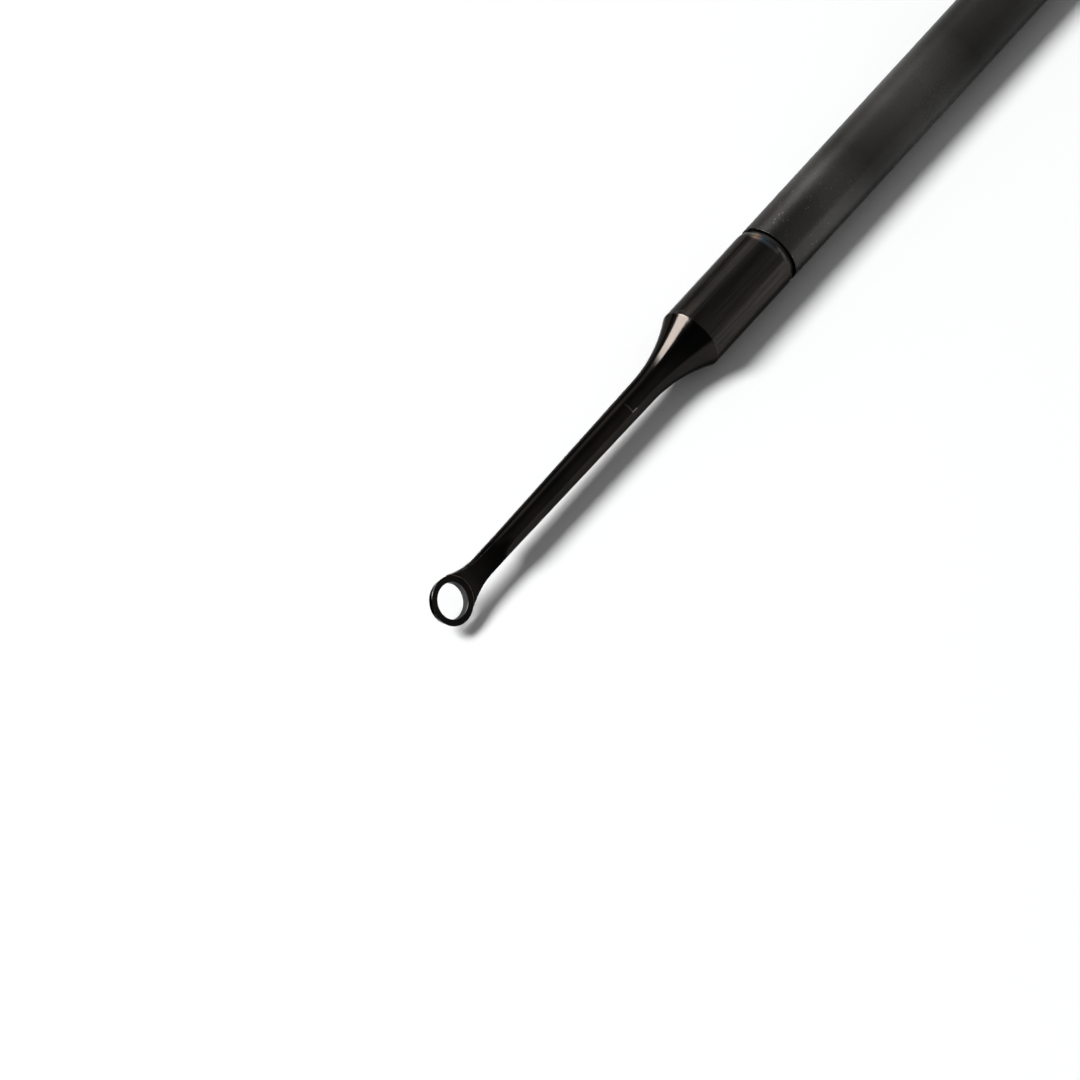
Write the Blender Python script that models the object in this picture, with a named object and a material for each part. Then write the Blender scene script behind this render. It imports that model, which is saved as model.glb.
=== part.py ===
"""Manicure needle tool: a slim round handle with a ring tip and a capped needle tip.

Lengths are in metres. The tool lies along X with its ring at the -X end and +Z up. It rests on
the narrow flat under its handle, and the origin is under the middle of the whole tool.
Both tips screw into sockets that are pressed into the ends of the handle tube. Each tip is built
in its own frame: its shoulder at the origin, its working end towards +X, its spigot towards -X.
"""
import math

import bmesh
import bpy

# Handle tube
HANDLE_DIAMETER = 0.00700
HANDLE_LENGTH = 0.08400
HANDLE_WALL = 0.00080
HANDLE_END_CHAMFER = 0.00010
HANDLE_SIDES = 24

# Socket pressed into each end of the tube
SOCKET_WALL = 0.00062
SOCKET_LENGTH = 0.00900
SOCKET_SETBACK = 0.00010
SOCKET_REAR_CHAMFER = 0.00030
BORE_END_SPACE = 0.00060

# Spigot of each tip, and the seal ring between its shoulder and the handle
PILOT_LENGTH = 0.00130
PILOT_STEP = 0.00012
THREAD_PITCH = 0.00070
THREAD_TURNS = 8
SPIGOT_END_CHAMFER = 0.00030
SEAL_THICKNESS = 0.00044
SEAL_SETBACK = 0.00035
SEAL_RIM_ROUND = 0.00012

# Barrel and flare, alike on both tips
BARREL_LENGTH = 0.01330
BARREL_STEP = 0.00004
BARREL_BEVEL_LENGTH = 0.00050
BARREL_BEVEL_DEPTH = 0.00015
FLARE_LENGTH = 0.00875
SHANK_ROOT_DIAMETER = 0.00300
TIP_SIDES = 48

# Ring tip
SHANK_LENGTH = 0.02420
SHANK_NECK_DIAMETER = 0.00250
FISHTAIL_LENGTH = 0.00640
FISHTAIL_RUNOUT_LENGTH = 0.00180
FISHTAIL_ROOT_THICKNESS = 0.00136
FISHTAIL_SPREAD_LENGTH = 0.00400
FISHTAIL_SIDE_CROWN = 0.00004
RING_HOLE_DIAMETER = 0.00384
RING_FACE_BAND = 0.00072
RING_DEPTH = 0.00092
RING_WALL_TAPER = 0.00020
RING_EDGE_CHAMFER = 0.00005
RING_SIDES = 64
CRADLE_LIP = 0.00006
CRADLE_START_SHARE = 0.64
RING_ROLL_DEGREES = 46.0

# Needle tip
STUB_LENGTH = 0.00600
STUB_NOSE_DIAMETER = 0.00220
STUB_NOSE_ROUND = 0.00030
NEEDLE_DIAMETER = 0.00090
NEEDLE_REACH = 0.00900
NEEDLE_SEAT_DEPTH = 0.00600
NEEDLE_TAPER_LENGTH = 0.00550
NEEDLE_POINT_RADIUS = 0.00004

# Cap over the needle
CAP_WALL = 0.00060
CAP_LIP_LENGTH = 0.00080
CAP_LIP_STEP = 0.00025
CAP_POINT_SPACE = 0.00150

# Clearances: pressed or brazed, turning or sliding, and face to face
PRESS_GAP = 0.00003
RUNNING_GAP = 0.00005
SEAT_GAP = 0.00003

# Overrun of a cut past the faces it goes through, and the weld of points on an axis
CUT_OVERRUN = 0.00050
WELD_DISTANCE = 0.0000001

# Counts of steps along curved outlines
FISHTAIL_STEPS = 20
FLARE_STEPS = 14
ROUND_STEPS = 5
SHARP_ANGLE_DEGREES = 30.0

# Radii that follow from the sizes above, from the handle inwards
HANDLE_RADIUS = HANDLE_DIAMETER / 2
TUBE_BORE_RADIUS = HANDLE_RADIUS - HANDLE_WALL
SOCKET_RADIUS = TUBE_BORE_RADIUS - PRESS_GAP
THREAD_BORE_RADIUS = SOCKET_RADIUS - SOCKET_WALL
SPIGOT_RADIUS = THREAD_BORE_RADIUS - RUNNING_GAP
PILOT_RADIUS = SPIGOT_RADIUS + PILOT_STEP
PILOT_BORE_RADIUS = PILOT_RADIUS + RUNNING_GAP
SEAL_RADIUS = HANDLE_RADIUS - SEAL_SETBACK
BARREL_RADIUS = HANDLE_RADIUS - BARREL_STEP
SHANK_ROOT_RADIUS = SHANK_ROOT_DIAMETER / 2
SHANK_NECK_RADIUS = SHANK_NECK_DIAMETER / 2
RING_HOLE_RADIUS = RING_HOLE_DIAMETER / 2
RING_FACE_RADIUS = RING_HOLE_RADIUS + RING_FACE_BAND
RING_REAR_RADIUS = RING_FACE_RADIUS - RING_WALL_TAPER
STUB_NOSE_RADIUS = STUB_NOSE_DIAMETER / 2
NEEDLE_RADIUS = NEEDLE_DIAMETER / 2
CAP_BORE_RADIUS = SHANK_ROOT_RADIUS + RUNNING_GAP
CAP_RADIUS = CAP_BORE_RADIUS + CAP_WALL
CAP_LIP_RADIUS = CAP_RADIUS + CAP_LIP_STEP

# Places along a tip, measured outwards from its shoulder
SPIGOT_LENGTH = PILOT_LENGTH + THREAD_PITCH * THREAD_TURNS + SPIGOT_END_CHAMFER
FLARE_RIM_X = BARREL_LENGTH
FLARE_ROOT_X = FLARE_RIM_X + FLARE_LENGTH
SHANK_NECK_X = FLARE_ROOT_X + SHANK_LENGTH
RING_CENTRE_X = SHANK_NECK_X + FISHTAIL_LENGTH + RING_FACE_RADIUS
RING_TIP_X = RING_CENTRE_X + RING_FACE_RADIUS
STUB_NOSE_X = FLARE_ROOT_X + STUB_LENGTH
NEEDLE_POINT_X = STUB_NOSE_X + NEEDLE_REACH
CAP_MOUTH_X = FLARE_ROOT_X + SEAT_GAP
CAP_BORE_END_X = NEEDLE_POINT_X + CAP_POINT_SPACE
CAP_END_X = CAP_BORE_END_X + CAP_WALL

# Places along the whole tool, in the world
SEAL_SPACE = SEAL_THICKNESS + 2 * SEAT_GAP
TOOL_LENGTH = RING_TIP_X + SEAL_SPACE + HANDLE_LENGTH + SEAL_SPACE + CAP_END_X
FRONT_SHOULDER_X = RING_TIP_X - TOOL_LENGTH / 2
HANDLE_FRONT_X = FRONT_SHOULDER_X + SEAL_SPACE
HANDLE_REAR_X = HANDLE_FRONT_X + HANDLE_LENGTH
REAR_SHOULDER_X = HANDLE_REAR_X + SEAL_SPACE
AXIS_HEIGHT = HANDLE_RADIUS * math.cos(math.pi / HANDLE_SIDES)


def clear_scene():
    for thing in list(bpy.data.objects):
        bpy.data.objects.remove(thing, do_unlink=True)


def make_material(name, colour, roughness, metallic, alpha=1.0):
    material = bpy.data.materials.new(name)
    material.use_nodes = True
    shader = material.node_tree.nodes["Principled BSDF"]
    shader.inputs["Base Color"].default_value = (*colour, 1.0)
    shader.inputs["Roughness"].default_value = roughness
    shader.inputs["Metallic"].default_value = metallic
    shader.inputs["Alpha"].default_value = alpha
    return material


def make_axis(name, x, turn=0.0, roll=0.0):
    """An empty on the tool's axis that carries the pieces built in its frame."""
    axis = bpy.data.objects.new(name, None)
    axis.location = (x, 0, AXIS_HEIGHT)
    axis.rotation_euler = (roll, 0, turn)
    bpy.context.collection.objects.link(axis)
    return axis


def make_object(name, bm, material, parent=None):
    """Close off a bmesh as a named object, shaded smooth between its sharp edges."""
    bmesh.ops.recalc_face_normals(bm, faces=bm.faces)
    mesh = bpy.data.meshes.new(name)
    bm.to_mesh(mesh)
    bm.free()
    mesh.shade_smooth()
    mesh.set_sharp_from_angle(angle=math.radians(SHARP_ANGLE_DEGREES))
    if material:
        mesh.materials.append(material)
    piece = bpy.data.objects.new(name, mesh)
    piece.parent = parent
    bpy.context.collection.objects.link(piece)
    return piece


def turned(outline, sides, closed=False):
    """Spin an outline of (x, radius) points about X, with a flat facing up, down and sideways."""
    bm = bmesh.new()
    half_step = math.pi / sides
    points = [bm.verts.new((x, r * math.sin(half_step), r * math.cos(half_step))) for x, r in outline]
    edges = [bm.edges.new(pair) for pair in zip(points, points[1:])]
    if closed:
        edges.append(bm.edges.new((points[-1], points[0])))
    bmesh.ops.spin(bm, geom=points + edges, axis=(1, 0, 0), angle=math.tau, steps=sides, use_merge=True)
    bmesh.ops.remove_doubles(bm, verts=bm.verts, dist=WELD_DISTANCE)
    return bm


def lofted(sections):
    """Skin a row of closed sections with equal counts of points, and close both ends flat."""
    bm = bmesh.new()
    rings = [[bm.verts.new(point) for point in section] for section in sections]
    count = len(rings[0])
    for ring, following in zip(rings, rings[1:]):
        for i in range(count):
            j = (i + 1) % count
            bm.faces.new((ring[i], ring[j], following[j], following[i]))
    bm.faces.new(rings[0])
    bm.faces.new(rings[-1])
    return bm


def ease(share):
    """A smooth step from 0 to 1."""
    return share * share * (3 - 2 * share)


def blend(start, end, share):
    return start + (end - start) * share


def creased_section(x, side, crease_y, crease_z, top):
    """A section across X that has a crease in each quarter, between its side and its top.

    side is the half width at mid height and top is the half height in the middle. Both stretches
    are arcs, so a crease at 45 degrees on a circle gives the whole circle.
    """
    middle = math.pi / 4
    points = []
    for i in range(TIP_SIDES):
        angle = math.tau * i / TIP_SIDES
        cosine, sine = math.cos(angle), math.sin(angle)
        if abs(sine) <= math.sin(middle):
            bow = (abs(cosine) - math.cos(middle)) / (1 - math.cos(middle))
            y = math.copysign(blend(crease_y, side, bow), cosine)
            z = crease_z * sine / math.sin(middle)
        else:
            bow = (abs(sine) - math.sin(middle)) / (1 - math.sin(middle))
            y = crease_y * cosine / math.cos(middle)
            z = math.copysign(blend(crease_z, top, bow), sine)
        points.append((x, y, z))
    return points


def round_section(x, radius):
    crease = radius * math.sqrt(0.5)
    return creased_section(x, radius, crease, crease, radius)


def flare_outline():
    """The hollow flare, an arc that leaves the shank along its side and opens to the barrel's rim."""
    rise = BARREL_RADIUS - SHANK_ROOT_RADIUS
    arc_radius = (FLARE_LENGTH ** 2 + rise ** 2) / (2 * rise)
    points = []
    for i in range(FLARE_STEPS + 1):
        x = FLARE_LENGTH * i / FLARE_STEPS
        lift = arc_radius - math.sqrt(arc_radius ** 2 - (FLARE_LENGTH - x) ** 2)
        points.append((FLARE_RIM_X + x, SHANK_ROOT_RADIUS + lift))
    return points


def spigot_and_barrel_outline():
    """From the spigot's end, over the pilot and the shoulder, to the rim of the flare."""
    return [
        (-SPIGOT_LENGTH, SPIGOT_RADIUS - SPIGOT_END_CHAMFER),
        (-SPIGOT_LENGTH + SPIGOT_END_CHAMFER, SPIGOT_RADIUS),
        (-PILOT_LENGTH, SPIGOT_RADIUS),
        (-PILOT_LENGTH + PILOT_STEP, PILOT_RADIUS),
        (0, PILOT_RADIUS),
        (0, BARREL_RADIUS - BARREL_BEVEL_DEPTH),
        (BARREL_BEVEL_LENGTH, BARREL_RADIUS),
    ]


def fishtail_sections():
    """From the round neck of the shank to the flat, spread end that cradles the ring.

    The two flats run out of the round neck, then close in to the ring's depth. The sides stay
    on the neck's round until they spread to meet the ring's outer wall.
    """
    neck = SHANK_NECK_RADIUS
    root_half = FISHTAIL_ROOT_THICKNESS / 2
    ring_half = RING_DEPTH / 2
    seat_radius = RING_FACE_RADIUS + PRESS_GAP
    cradle_reach = CRADLE_START_SHARE * RING_FACE_RADIUS
    cradle_half_width = math.sqrt(seat_radius ** 2 - cradle_reach ** 2) + CRADLE_LIP
    crease_spread = cradle_half_width - math.sqrt(neck ** 2 - ring_half ** 2)
    side_spread = cradle_half_width + FISHTAIL_SIDE_CROWN - neck
    length = RING_CENTRE_X - cradle_reach - SHANK_NECK_X
    sections = []
    for i in range(1, FISHTAIL_STEPS + 1):
        along = length * i / FISHTAIL_STEPS
        run_out = ease(min(1, along / FISHTAIL_RUNOUT_LENGTH))
        thinning = min(1, along / FISHTAIL_LENGTH)
        widening = max(0, along - length + FISHTAIL_SPREAD_LENGTH) / FISHTAIL_SPREAD_LENGTH
        flat = blend(root_half, ring_half, thinning)
        crease_z = blend(neck * math.sqrt(0.5), flat, run_out)
        crease_y = math.sqrt(neck ** 2 - crease_z ** 2) + crease_spread * widening ** 2
        side = neck + side_spread * widening ** 2
        top = blend(neck, flat, run_out)
        sections.append(creased_section(SHANK_NECK_X + along, side, crease_y, crease_z, top))
    return sections


def build_ring_seat_cutter(parent):
    """The ring's tapered outer wall, with its gap, run on past both faces."""
    half_depth = RING_DEPTH / 2
    slope = RING_WALL_TAPER / RING_DEPTH
    outline = [
        (-half_depth - CUT_OVERRUN, 0),
        (-half_depth - CUT_OVERRUN, RING_REAR_RADIUS + PRESS_GAP - CUT_OVERRUN * slope),
        (half_depth + CUT_OVERRUN, RING_FACE_RADIUS + PRESS_GAP + CUT_OVERRUN * slope),
        (half_depth + CUT_OVERRUN, 0),
    ]
    cutter = make_object("ring_seat_cutter", turned(outline, RING_SIDES), None, parent)
    stand_up(cutter)
    cutter.hide_render = True
    cutter.display_type = "WIRE"
    return cutter


def stand_up(piece):
    """Place a piece turned about X at the ring's centre, its axis along the tip's +Z."""
    piece.location = (RING_CENTRE_X, 0, 0)
    piece.rotation_euler = (0, -math.pi / 2, 0)


def build_front_tip_body(parent, material):
    """Spigot, barrel, hollow flare, tapered shank and fishtail in one piece, cut for the ring."""
    round_outline = spigot_and_barrel_outline() + flare_outline()
    round_outline.append((SHANK_NECK_X, SHANK_NECK_RADIUS))
    sections = [round_section(x, r) for x, r in round_outline]
    sections += fishtail_sections()
    tip_body = make_object("front_tip_body", lofted(sections), material, parent)
    cut = tip_body.modifiers.new("ring_seat", "BOOLEAN")
    cut.operation = "DIFFERENCE"
    cut.solver = "EXACT"
    cut.object = build_ring_seat_cutter(parent)
    return tip_body


def build_cutting_ring(parent, material):
    """A short ring with a straight hole, a wall that narrows to the rear and broken edges."""
    half_depth = RING_DEPTH / 2
    edge = RING_EDGE_CHAMFER
    outline = [
        (-half_depth, RING_HOLE_RADIUS),
        (-half_depth, RING_REAR_RADIUS - edge),
        (-half_depth + edge, RING_REAR_RADIUS),
        (half_depth - edge, RING_FACE_RADIUS),
        (half_depth, RING_FACE_RADIUS - edge),
        (half_depth, RING_HOLE_RADIUS + edge),
        (half_depth - edge, RING_HOLE_RADIUS),
    ]
    ring = make_object("cutting_ring", turned(outline, RING_SIDES, closed=True), material, parent)
    stand_up(ring)
    return ring


def build_rear_tip_body(parent, material):
    """The needle's holder: the same spigot, barrel and flare, then a short stub with a drilled nose."""
    bore_radius = NEEDLE_RADIUS + PRESS_GAP
    bore_end_x = STUB_NOSE_X - NEEDLE_SEAT_DEPTH - PRESS_GAP
    outline = [(-SPIGOT_LENGTH, 0)]
    outline += spigot_and_barrel_outline()
    outline += flare_outline()
    for i in range(ROUND_STEPS + 1):
        angle = i / ROUND_STEPS * math.pi / 2
        x = STUB_NOSE_X - STUB_NOSE_ROUND * (1 - math.sin(angle))
        outline.append((x, STUB_NOSE_RADIUS - STUB_NOSE_ROUND * (1 - math.cos(angle))))
    outline.append((STUB_NOSE_X, bore_radius))
    outline.append((bore_end_x, bore_radius))
    outline.append((bore_end_x, 0))
    return make_object("rear_tip_body", turned(outline, TIP_SIDES), material, parent)


def build_needle(parent, material):
    """A round steel pin, pressed into the stub, ground to a long point."""
    root_x = STUB_NOSE_X - NEEDLE_SEAT_DEPTH
    outline = [
        (root_x, 0),
        (root_x, NEEDLE_RADIUS),
        (NEEDLE_POINT_X - NEEDLE_TAPER_LENGTH, NEEDLE_RADIUS),
        (NEEDLE_POINT_X - NEEDLE_POINT_RADIUS, NEEDLE_POINT_RADIUS),
        (NEEDLE_POINT_X, 0),
    ]
    return make_object("needle", turned(outline, HANDLE_SIDES), material, parent)


def dome(x, reach, radius):
    """Points from the side of a round end to its crown on the axis."""
    points = []
    for i in range(ROUND_STEPS + 1):
        angle = i / ROUND_STEPS * math.pi / 2
        points.append((x + reach * math.sin(angle), radius * math.cos(angle)))
    points[-1] = (x + reach, 0)
    return points


def build_needle_cap(parent, material):
    """A clear sleeve with a domed end and a grip lip at its mouth, pushed onto the stub."""
    outline = list(reversed(dome(CAP_BORE_END_X - CAP_BORE_RADIUS, CAP_BORE_RADIUS, CAP_BORE_RADIUS)))
    outline.append((CAP_MOUTH_X, CAP_BORE_RADIUS))
    outline.append((CAP_MOUTH_X, CAP_LIP_RADIUS))
    outline.append((CAP_MOUTH_X + CAP_LIP_LENGTH - CAP_LIP_STEP, CAP_LIP_RADIUS))
    outline.append((CAP_MOUTH_X + CAP_LIP_LENGTH, CAP_RADIUS))
    outline += dome(CAP_END_X - CAP_RADIUS, CAP_RADIUS, CAP_RADIUS)
    return make_object("needle_cap", turned(outline, TIP_SIDES), material, parent)


def build_seal_ring(name, parent, material):
    """A flat rubber ring round the pilot, its rounded rim set back from the barrel's side."""
    near_x = -SEAT_GAP
    far_x = -SEAT_GAP - SEAL_THICKNESS
    outline = [
        (far_x, PILOT_BORE_RADIUS),
        (far_x, SEAL_RADIUS - SEAL_RIM_ROUND),
        (far_x + SEAL_RIM_ROUND, SEAL_RADIUS),
        (near_x - SEAL_RIM_ROUND, SEAL_RADIUS),
        (near_x, SEAL_RADIUS - SEAL_RIM_ROUND),
        (near_x, PILOT_BORE_RADIUS),
    ]
    return make_object(name, turned(outline, TIP_SIDES, closed=True), material, parent)


def socket_outline():
    """A plug with a stepped blind bore. Its mouth is at the origin and its body towards -X."""
    pilot_depth = PILOT_LENGTH - SEAL_SPACE - SOCKET_SETBACK + RUNNING_GAP
    bore_depth = SPIGOT_LENGTH - SEAL_SPACE - SOCKET_SETBACK + BORE_END_SPACE
    return [
        (-SOCKET_LENGTH, 0),
        (-SOCKET_LENGTH, SOCKET_RADIUS - SOCKET_REAR_CHAMFER),
        (-SOCKET_LENGTH + SOCKET_REAR_CHAMFER, SOCKET_RADIUS),
        (0, SOCKET_RADIUS),
        (0, PILOT_BORE_RADIUS),
        (-pilot_depth, PILOT_BORE_RADIUS),
        (-pilot_depth - PILOT_STEP, THREAD_BORE_RADIUS),
        (-bore_depth, THREAD_BORE_RADIUS),
        (-bore_depth, 0),
    ]


def build_socket(name, parent, material, outline):
    return make_object(name, turned(outline, HANDLE_SIDES), material, parent)


def build_handle_tube(parent, material):
    """The bored tube, with both outer edges broken."""
    chamfer = HANDLE_END_CHAMFER
    outline = [
        (HANDLE_FRONT_X, TUBE_BORE_RADIUS),
        (HANDLE_FRONT_X, HANDLE_RADIUS - chamfer),
        (HANDLE_FRONT_X + chamfer, HANDLE_RADIUS),
        (HANDLE_REAR_X - chamfer, HANDLE_RADIUS),
        (HANDLE_REAR_X, HANDLE_RADIUS - chamfer),
        (HANDLE_REAR_X, TUBE_BORE_RADIUS),
    ]
    return make_object("handle_tube", turned(outline, HANDLE_SIDES, closed=True), material, parent)


def report_sizes():
    print("tool length", round(TOOL_LENGTH, 6), "axis height", round(AXIS_HEIGHT, 6))
    print("front shoulder x", round(FRONT_SHOULDER_X, 6), "rear shoulder x", round(REAR_SHOULDER_X, 6))
    print("handle from", round(HANDLE_FRONT_X, 6), "to", round(HANDLE_REAR_X, 6))
    print("ring centre x", round(FRONT_SHOULDER_X - RING_CENTRE_X, 6))
    print("needle point x", round(REAR_SHOULDER_X + NEEDLE_POINT_X, 6))
    print("spigot radius", round(SPIGOT_RADIUS, 6), "screw travel", round(THREAD_PITCH * THREAD_TURNS, 6))
    print("cap pull", round(CAP_BORE_END_X - CAP_MOUTH_X, 6))


def build():
    clear_scene()
    satin_black = make_material("satin_black_coating", (0.045, 0.044, 0.043), 0.42, 0.6)
    gloss_black = make_material("gloss_black_coating", (0.012, 0.012, 0.013), 0.16, 0.8)
    black_rubber = make_material("black_rubber", (0.010, 0.010, 0.010), 0.70, 0.0)
    plain_steel = make_material("plain_steel", (0.55, 0.55, 0.56), 0.28, 1.0)
    bright_steel = make_material("bright_steel", (0.70, 0.70, 0.71), 0.15, 1.0)
    clear_plastic = make_material("clear_plastic", (0.86, 0.89, 0.90), 0.12, 0.0, alpha=0.35)

    handle_axis = make_axis("handle_axis", 0)
    build_handle_tube(handle_axis, satin_black)

    front_mouth = make_axis("front_socket_mouth", HANDLE_FRONT_X + SOCKET_SETBACK, turn=math.pi)
    rear_mouth = make_axis("rear_socket_mouth", HANDLE_REAR_X - SOCKET_SETBACK)
    build_socket("front_socket", front_mouth, plain_steel, socket_outline())
    build_socket("rear_socket", rear_mouth, plain_steel, socket_outline())

    ring_roll = -math.radians(RING_ROLL_DEGREES)
    front_axis = make_axis("front_tip_axis", FRONT_SHOULDER_X, turn=math.pi)
    ring_axis = make_axis("ring_tip_axis", FRONT_SHOULDER_X, turn=math.pi, roll=ring_roll)
    build_seal_ring("front_seal_ring", front_axis, black_rubber)
    build_front_tip_body(ring_axis, gloss_black)
    build_cutting_ring(ring_axis, gloss_black)

    rear_axis = make_axis("rear_tip_axis", REAR_SHOULDER_X)
    build_seal_ring("rear_seal_ring", rear_axis, black_rubber)
    build_rear_tip_body(rear_axis, gloss_black)
    build_needle(rear_axis, bright_steel)
    build_needle_cap(rear_axis, clear_plastic)

    bpy.context.view_layer.update()
    report_sizes()


build()
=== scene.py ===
# %% [markdown]
# # A manicure needle tool
#
# The tool is a slim satin handle with a glossy black tip screwed into each end. One tip ends in a
# small ring on a fishtail, the other in a steel needle under a clear cap. Nearly every piece is a
# turned part, so most shapes here are outlines that go round the tool's axis. The exception is
# the fishtail, which is skinned over a row of cross sections.
#
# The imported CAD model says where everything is. It is loaded first, and each piece below takes
# the place of its CAD node with a finer mesh and a procedural finish.

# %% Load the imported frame
import math

import bmesh
import bpy
from mathutils import Matrix, Vector


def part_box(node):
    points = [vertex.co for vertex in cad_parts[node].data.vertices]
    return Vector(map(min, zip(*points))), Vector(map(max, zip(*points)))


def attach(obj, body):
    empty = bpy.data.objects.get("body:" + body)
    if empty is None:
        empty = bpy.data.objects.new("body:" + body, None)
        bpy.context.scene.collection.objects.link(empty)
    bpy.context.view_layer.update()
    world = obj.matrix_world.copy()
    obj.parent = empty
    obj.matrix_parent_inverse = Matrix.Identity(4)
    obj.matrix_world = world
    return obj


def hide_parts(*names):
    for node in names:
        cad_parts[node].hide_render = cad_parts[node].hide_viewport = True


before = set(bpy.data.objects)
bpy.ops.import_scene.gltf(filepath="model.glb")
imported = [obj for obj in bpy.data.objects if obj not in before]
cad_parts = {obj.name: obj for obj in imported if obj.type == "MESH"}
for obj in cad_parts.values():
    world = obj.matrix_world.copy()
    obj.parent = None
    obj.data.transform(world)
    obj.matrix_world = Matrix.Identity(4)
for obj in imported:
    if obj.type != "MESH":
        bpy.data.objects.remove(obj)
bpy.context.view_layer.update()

# %% [markdown]
# ## Sizes
#
# Lengths are in metres and written in millimetres times MM. The boxes of the CAD nodes give the
# places along the tool, so a seam is where the frame says. The other sizes repeat those that the
# CAD part was made from, and each stands with the piece that first needs it. The tool's axis lies
# along X at the height of the handle's middle.

# %% Places read from the frame
MM = 0.001
handle_low, handle_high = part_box("handle_tube")
seal_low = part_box("front_seal_ring")[0]

AXIS_HEIGHT = (handle_low.z + handle_high.z) / 2
HANDLE_FRONT_X, HANDLE_REAR_X = handle_low.x, handle_high.x
SEAT_GAP = 0.03 * MM
FRONT_SHOULDER_X = seal_low.x - SEAT_GAP
SEAM = HANDLE_FRONT_X - FRONT_SHOULDER_X
REAR_SHOULDER_X = HANDLE_REAR_X + SEAM
HANDLE_MIDDLE_X = (HANDLE_FRONT_X + HANDLE_REAR_X) / 2
print("axis height mm", round(AXIS_HEIGHT / MM, 3))
print("front shoulder mm", round(FRONT_SHOULDER_X / MM, 3))

# %% [markdown]
# ## Frames of the pieces
#
# Each tip is described from its own shoulder outwards along X, as a turner would measure it. One
# matrix for each tip then carries the mesh to its place in the tool, so that the finished object
# itself stays at the origin. The ring tip is also rolled, because the photo shows its ring tilted.

# %% Lengths along a tip, from its shoulder
BARREL_LENGTH = 13.30 * MM
FLARE_LENGTH = 8.75 * MM
SHANK_LENGTH = 24.20 * MM
FISHTAIL_LENGTH = 6.40 * MM
RING_FACE_RADIUS = 2.64 * MM

FLARE_RIM_X = BARREL_LENGTH
FLARE_ROOT_X = FLARE_RIM_X + FLARE_LENGTH
SHANK_NECK_X = FLARE_ROOT_X + SHANK_LENGTH
RING_CENTRE_X = SHANK_NECK_X + FISHTAIL_LENGTH + RING_FACE_RADIUS
print("ring centre from shoulder mm", round(RING_CENTRE_X / MM, 3))

# %% Where each tip's own measurements lie in the tool
RING_ROLL = math.radians(46.0)
SOCKET_SETBACK = 0.10 * MM

on_axis = Matrix.Translation((0, 0, AXIS_HEIGHT))
half_turn = Matrix.Rotation(math.pi, 4, "Z")
front_place = Matrix.Translation((FRONT_SHOULDER_X, 0, AXIS_HEIGHT)) @ half_turn
ring_tip_place = front_place @ Matrix.Rotation(-RING_ROLL, 4, "X")
rear_place = Matrix.Translation((REAR_SHOULDER_X, 0, AXIS_HEIGHT))
ring_stand = Matrix.Rotation(-math.pi / 2, 4, "Y")
ring_place = ring_tip_place @ Matrix.Translation((RING_CENTRE_X, 0, 0)) @ ring_stand
front_socket_place = Matrix.Translation((HANDLE_FRONT_X + SOCKET_SETBACK, 0, AXIS_HEIGHT)) @ half_turn
rear_socket_place = Matrix.Translation((HANDLE_REAR_X - SOCKET_SETBACK, 0, AXIS_HEIGHT))
print("ring centre mm", [round(v / MM, 3) for v in ring_place.translation])

# %% [markdown]
# ## Skinning rings of points
#
# A turned piece is a row of circles and the fishtail is a row of odd sections, but both are the
# same thing to a mesh: rings of points, joined by faces. One function builds both. It also
# stores how exposed each point is to rubbing, as an attribute that the finishes read later.

# %% Build a closed mesh from rings of points
def linked(name, data):
    """A new object in the scene, with this mesh, lamp or camera."""
    thing = bpy.data.objects.new(name, data)
    bpy.context.scene.collection.objects.link(thing)
    return thing


def skin(name, rings, place, loop=False, end_faces=()):
    """rings holds lists of ((x, y, z), wear). A ring of one point is a pole.

    loop joins the last ring to the first. end_faces holds the faces that close the last ring,
    each as the numbers of four of its points.
    """
    bm = bmesh.new()
    wear_layer = bm.verts.layers.float.new("edge_wear")
    rows = []
    for ring in rings:
        row = []
        for point, wear in ring:
            vert = bm.verts.new(point)
            vert[wear_layer] = wear
            row.append(vert)
        rows.append(row)
    pairs = list(zip(rows, rows[1:]))
    if loop:
        pairs.append((rows[-1], rows[0]))
    for row, following in pairs:
        count = max(len(row), len(following))
        for i in range(count):
            j = (i + 1) % count
            corners = [
                row[i % len(row)], row[j % len(row)],
                following[j % len(following)], following[i % len(following)],
            ]
            bm.faces.new(list(dict.fromkeys(corners)))
    for numbers in end_faces:
        corners = [rows[-1][number] for number in numbers]
        bm.faces.new(list(dict.fromkeys(corners)))
    bmesh.ops.recalc_face_normals(bm, faces=bm.faces)
    bm.transform(place)
    mesh = bpy.data.meshes.new(name)
    bm.to_mesh(mesh)
    bm.free()
    mesh.shade_smooth()
    return linked(name, mesh)


# %% [markdown]
# ## Outlines with eased corners
#
# No turned part has a truly sharp corner, and it is the small round on each edge that catches
# the light. An outline here is a row of corners, each with the reach of its round. The function
# swaps a corner for a short curve and puts one more point on either side of it, so that smooth
# shading on the long faces stays clean. A Bevel modifier could do the same, but it can't tell
# the finishes which points are the worn ones.

# %% Ease the corners of an outline
ROUND_STEPS = 6
SUPPORT_SHARE = 1.9
LEAST_SIDE = 1.5 * SUPPORT_SHARE
POLE_RADIUS = 1e-9


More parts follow.
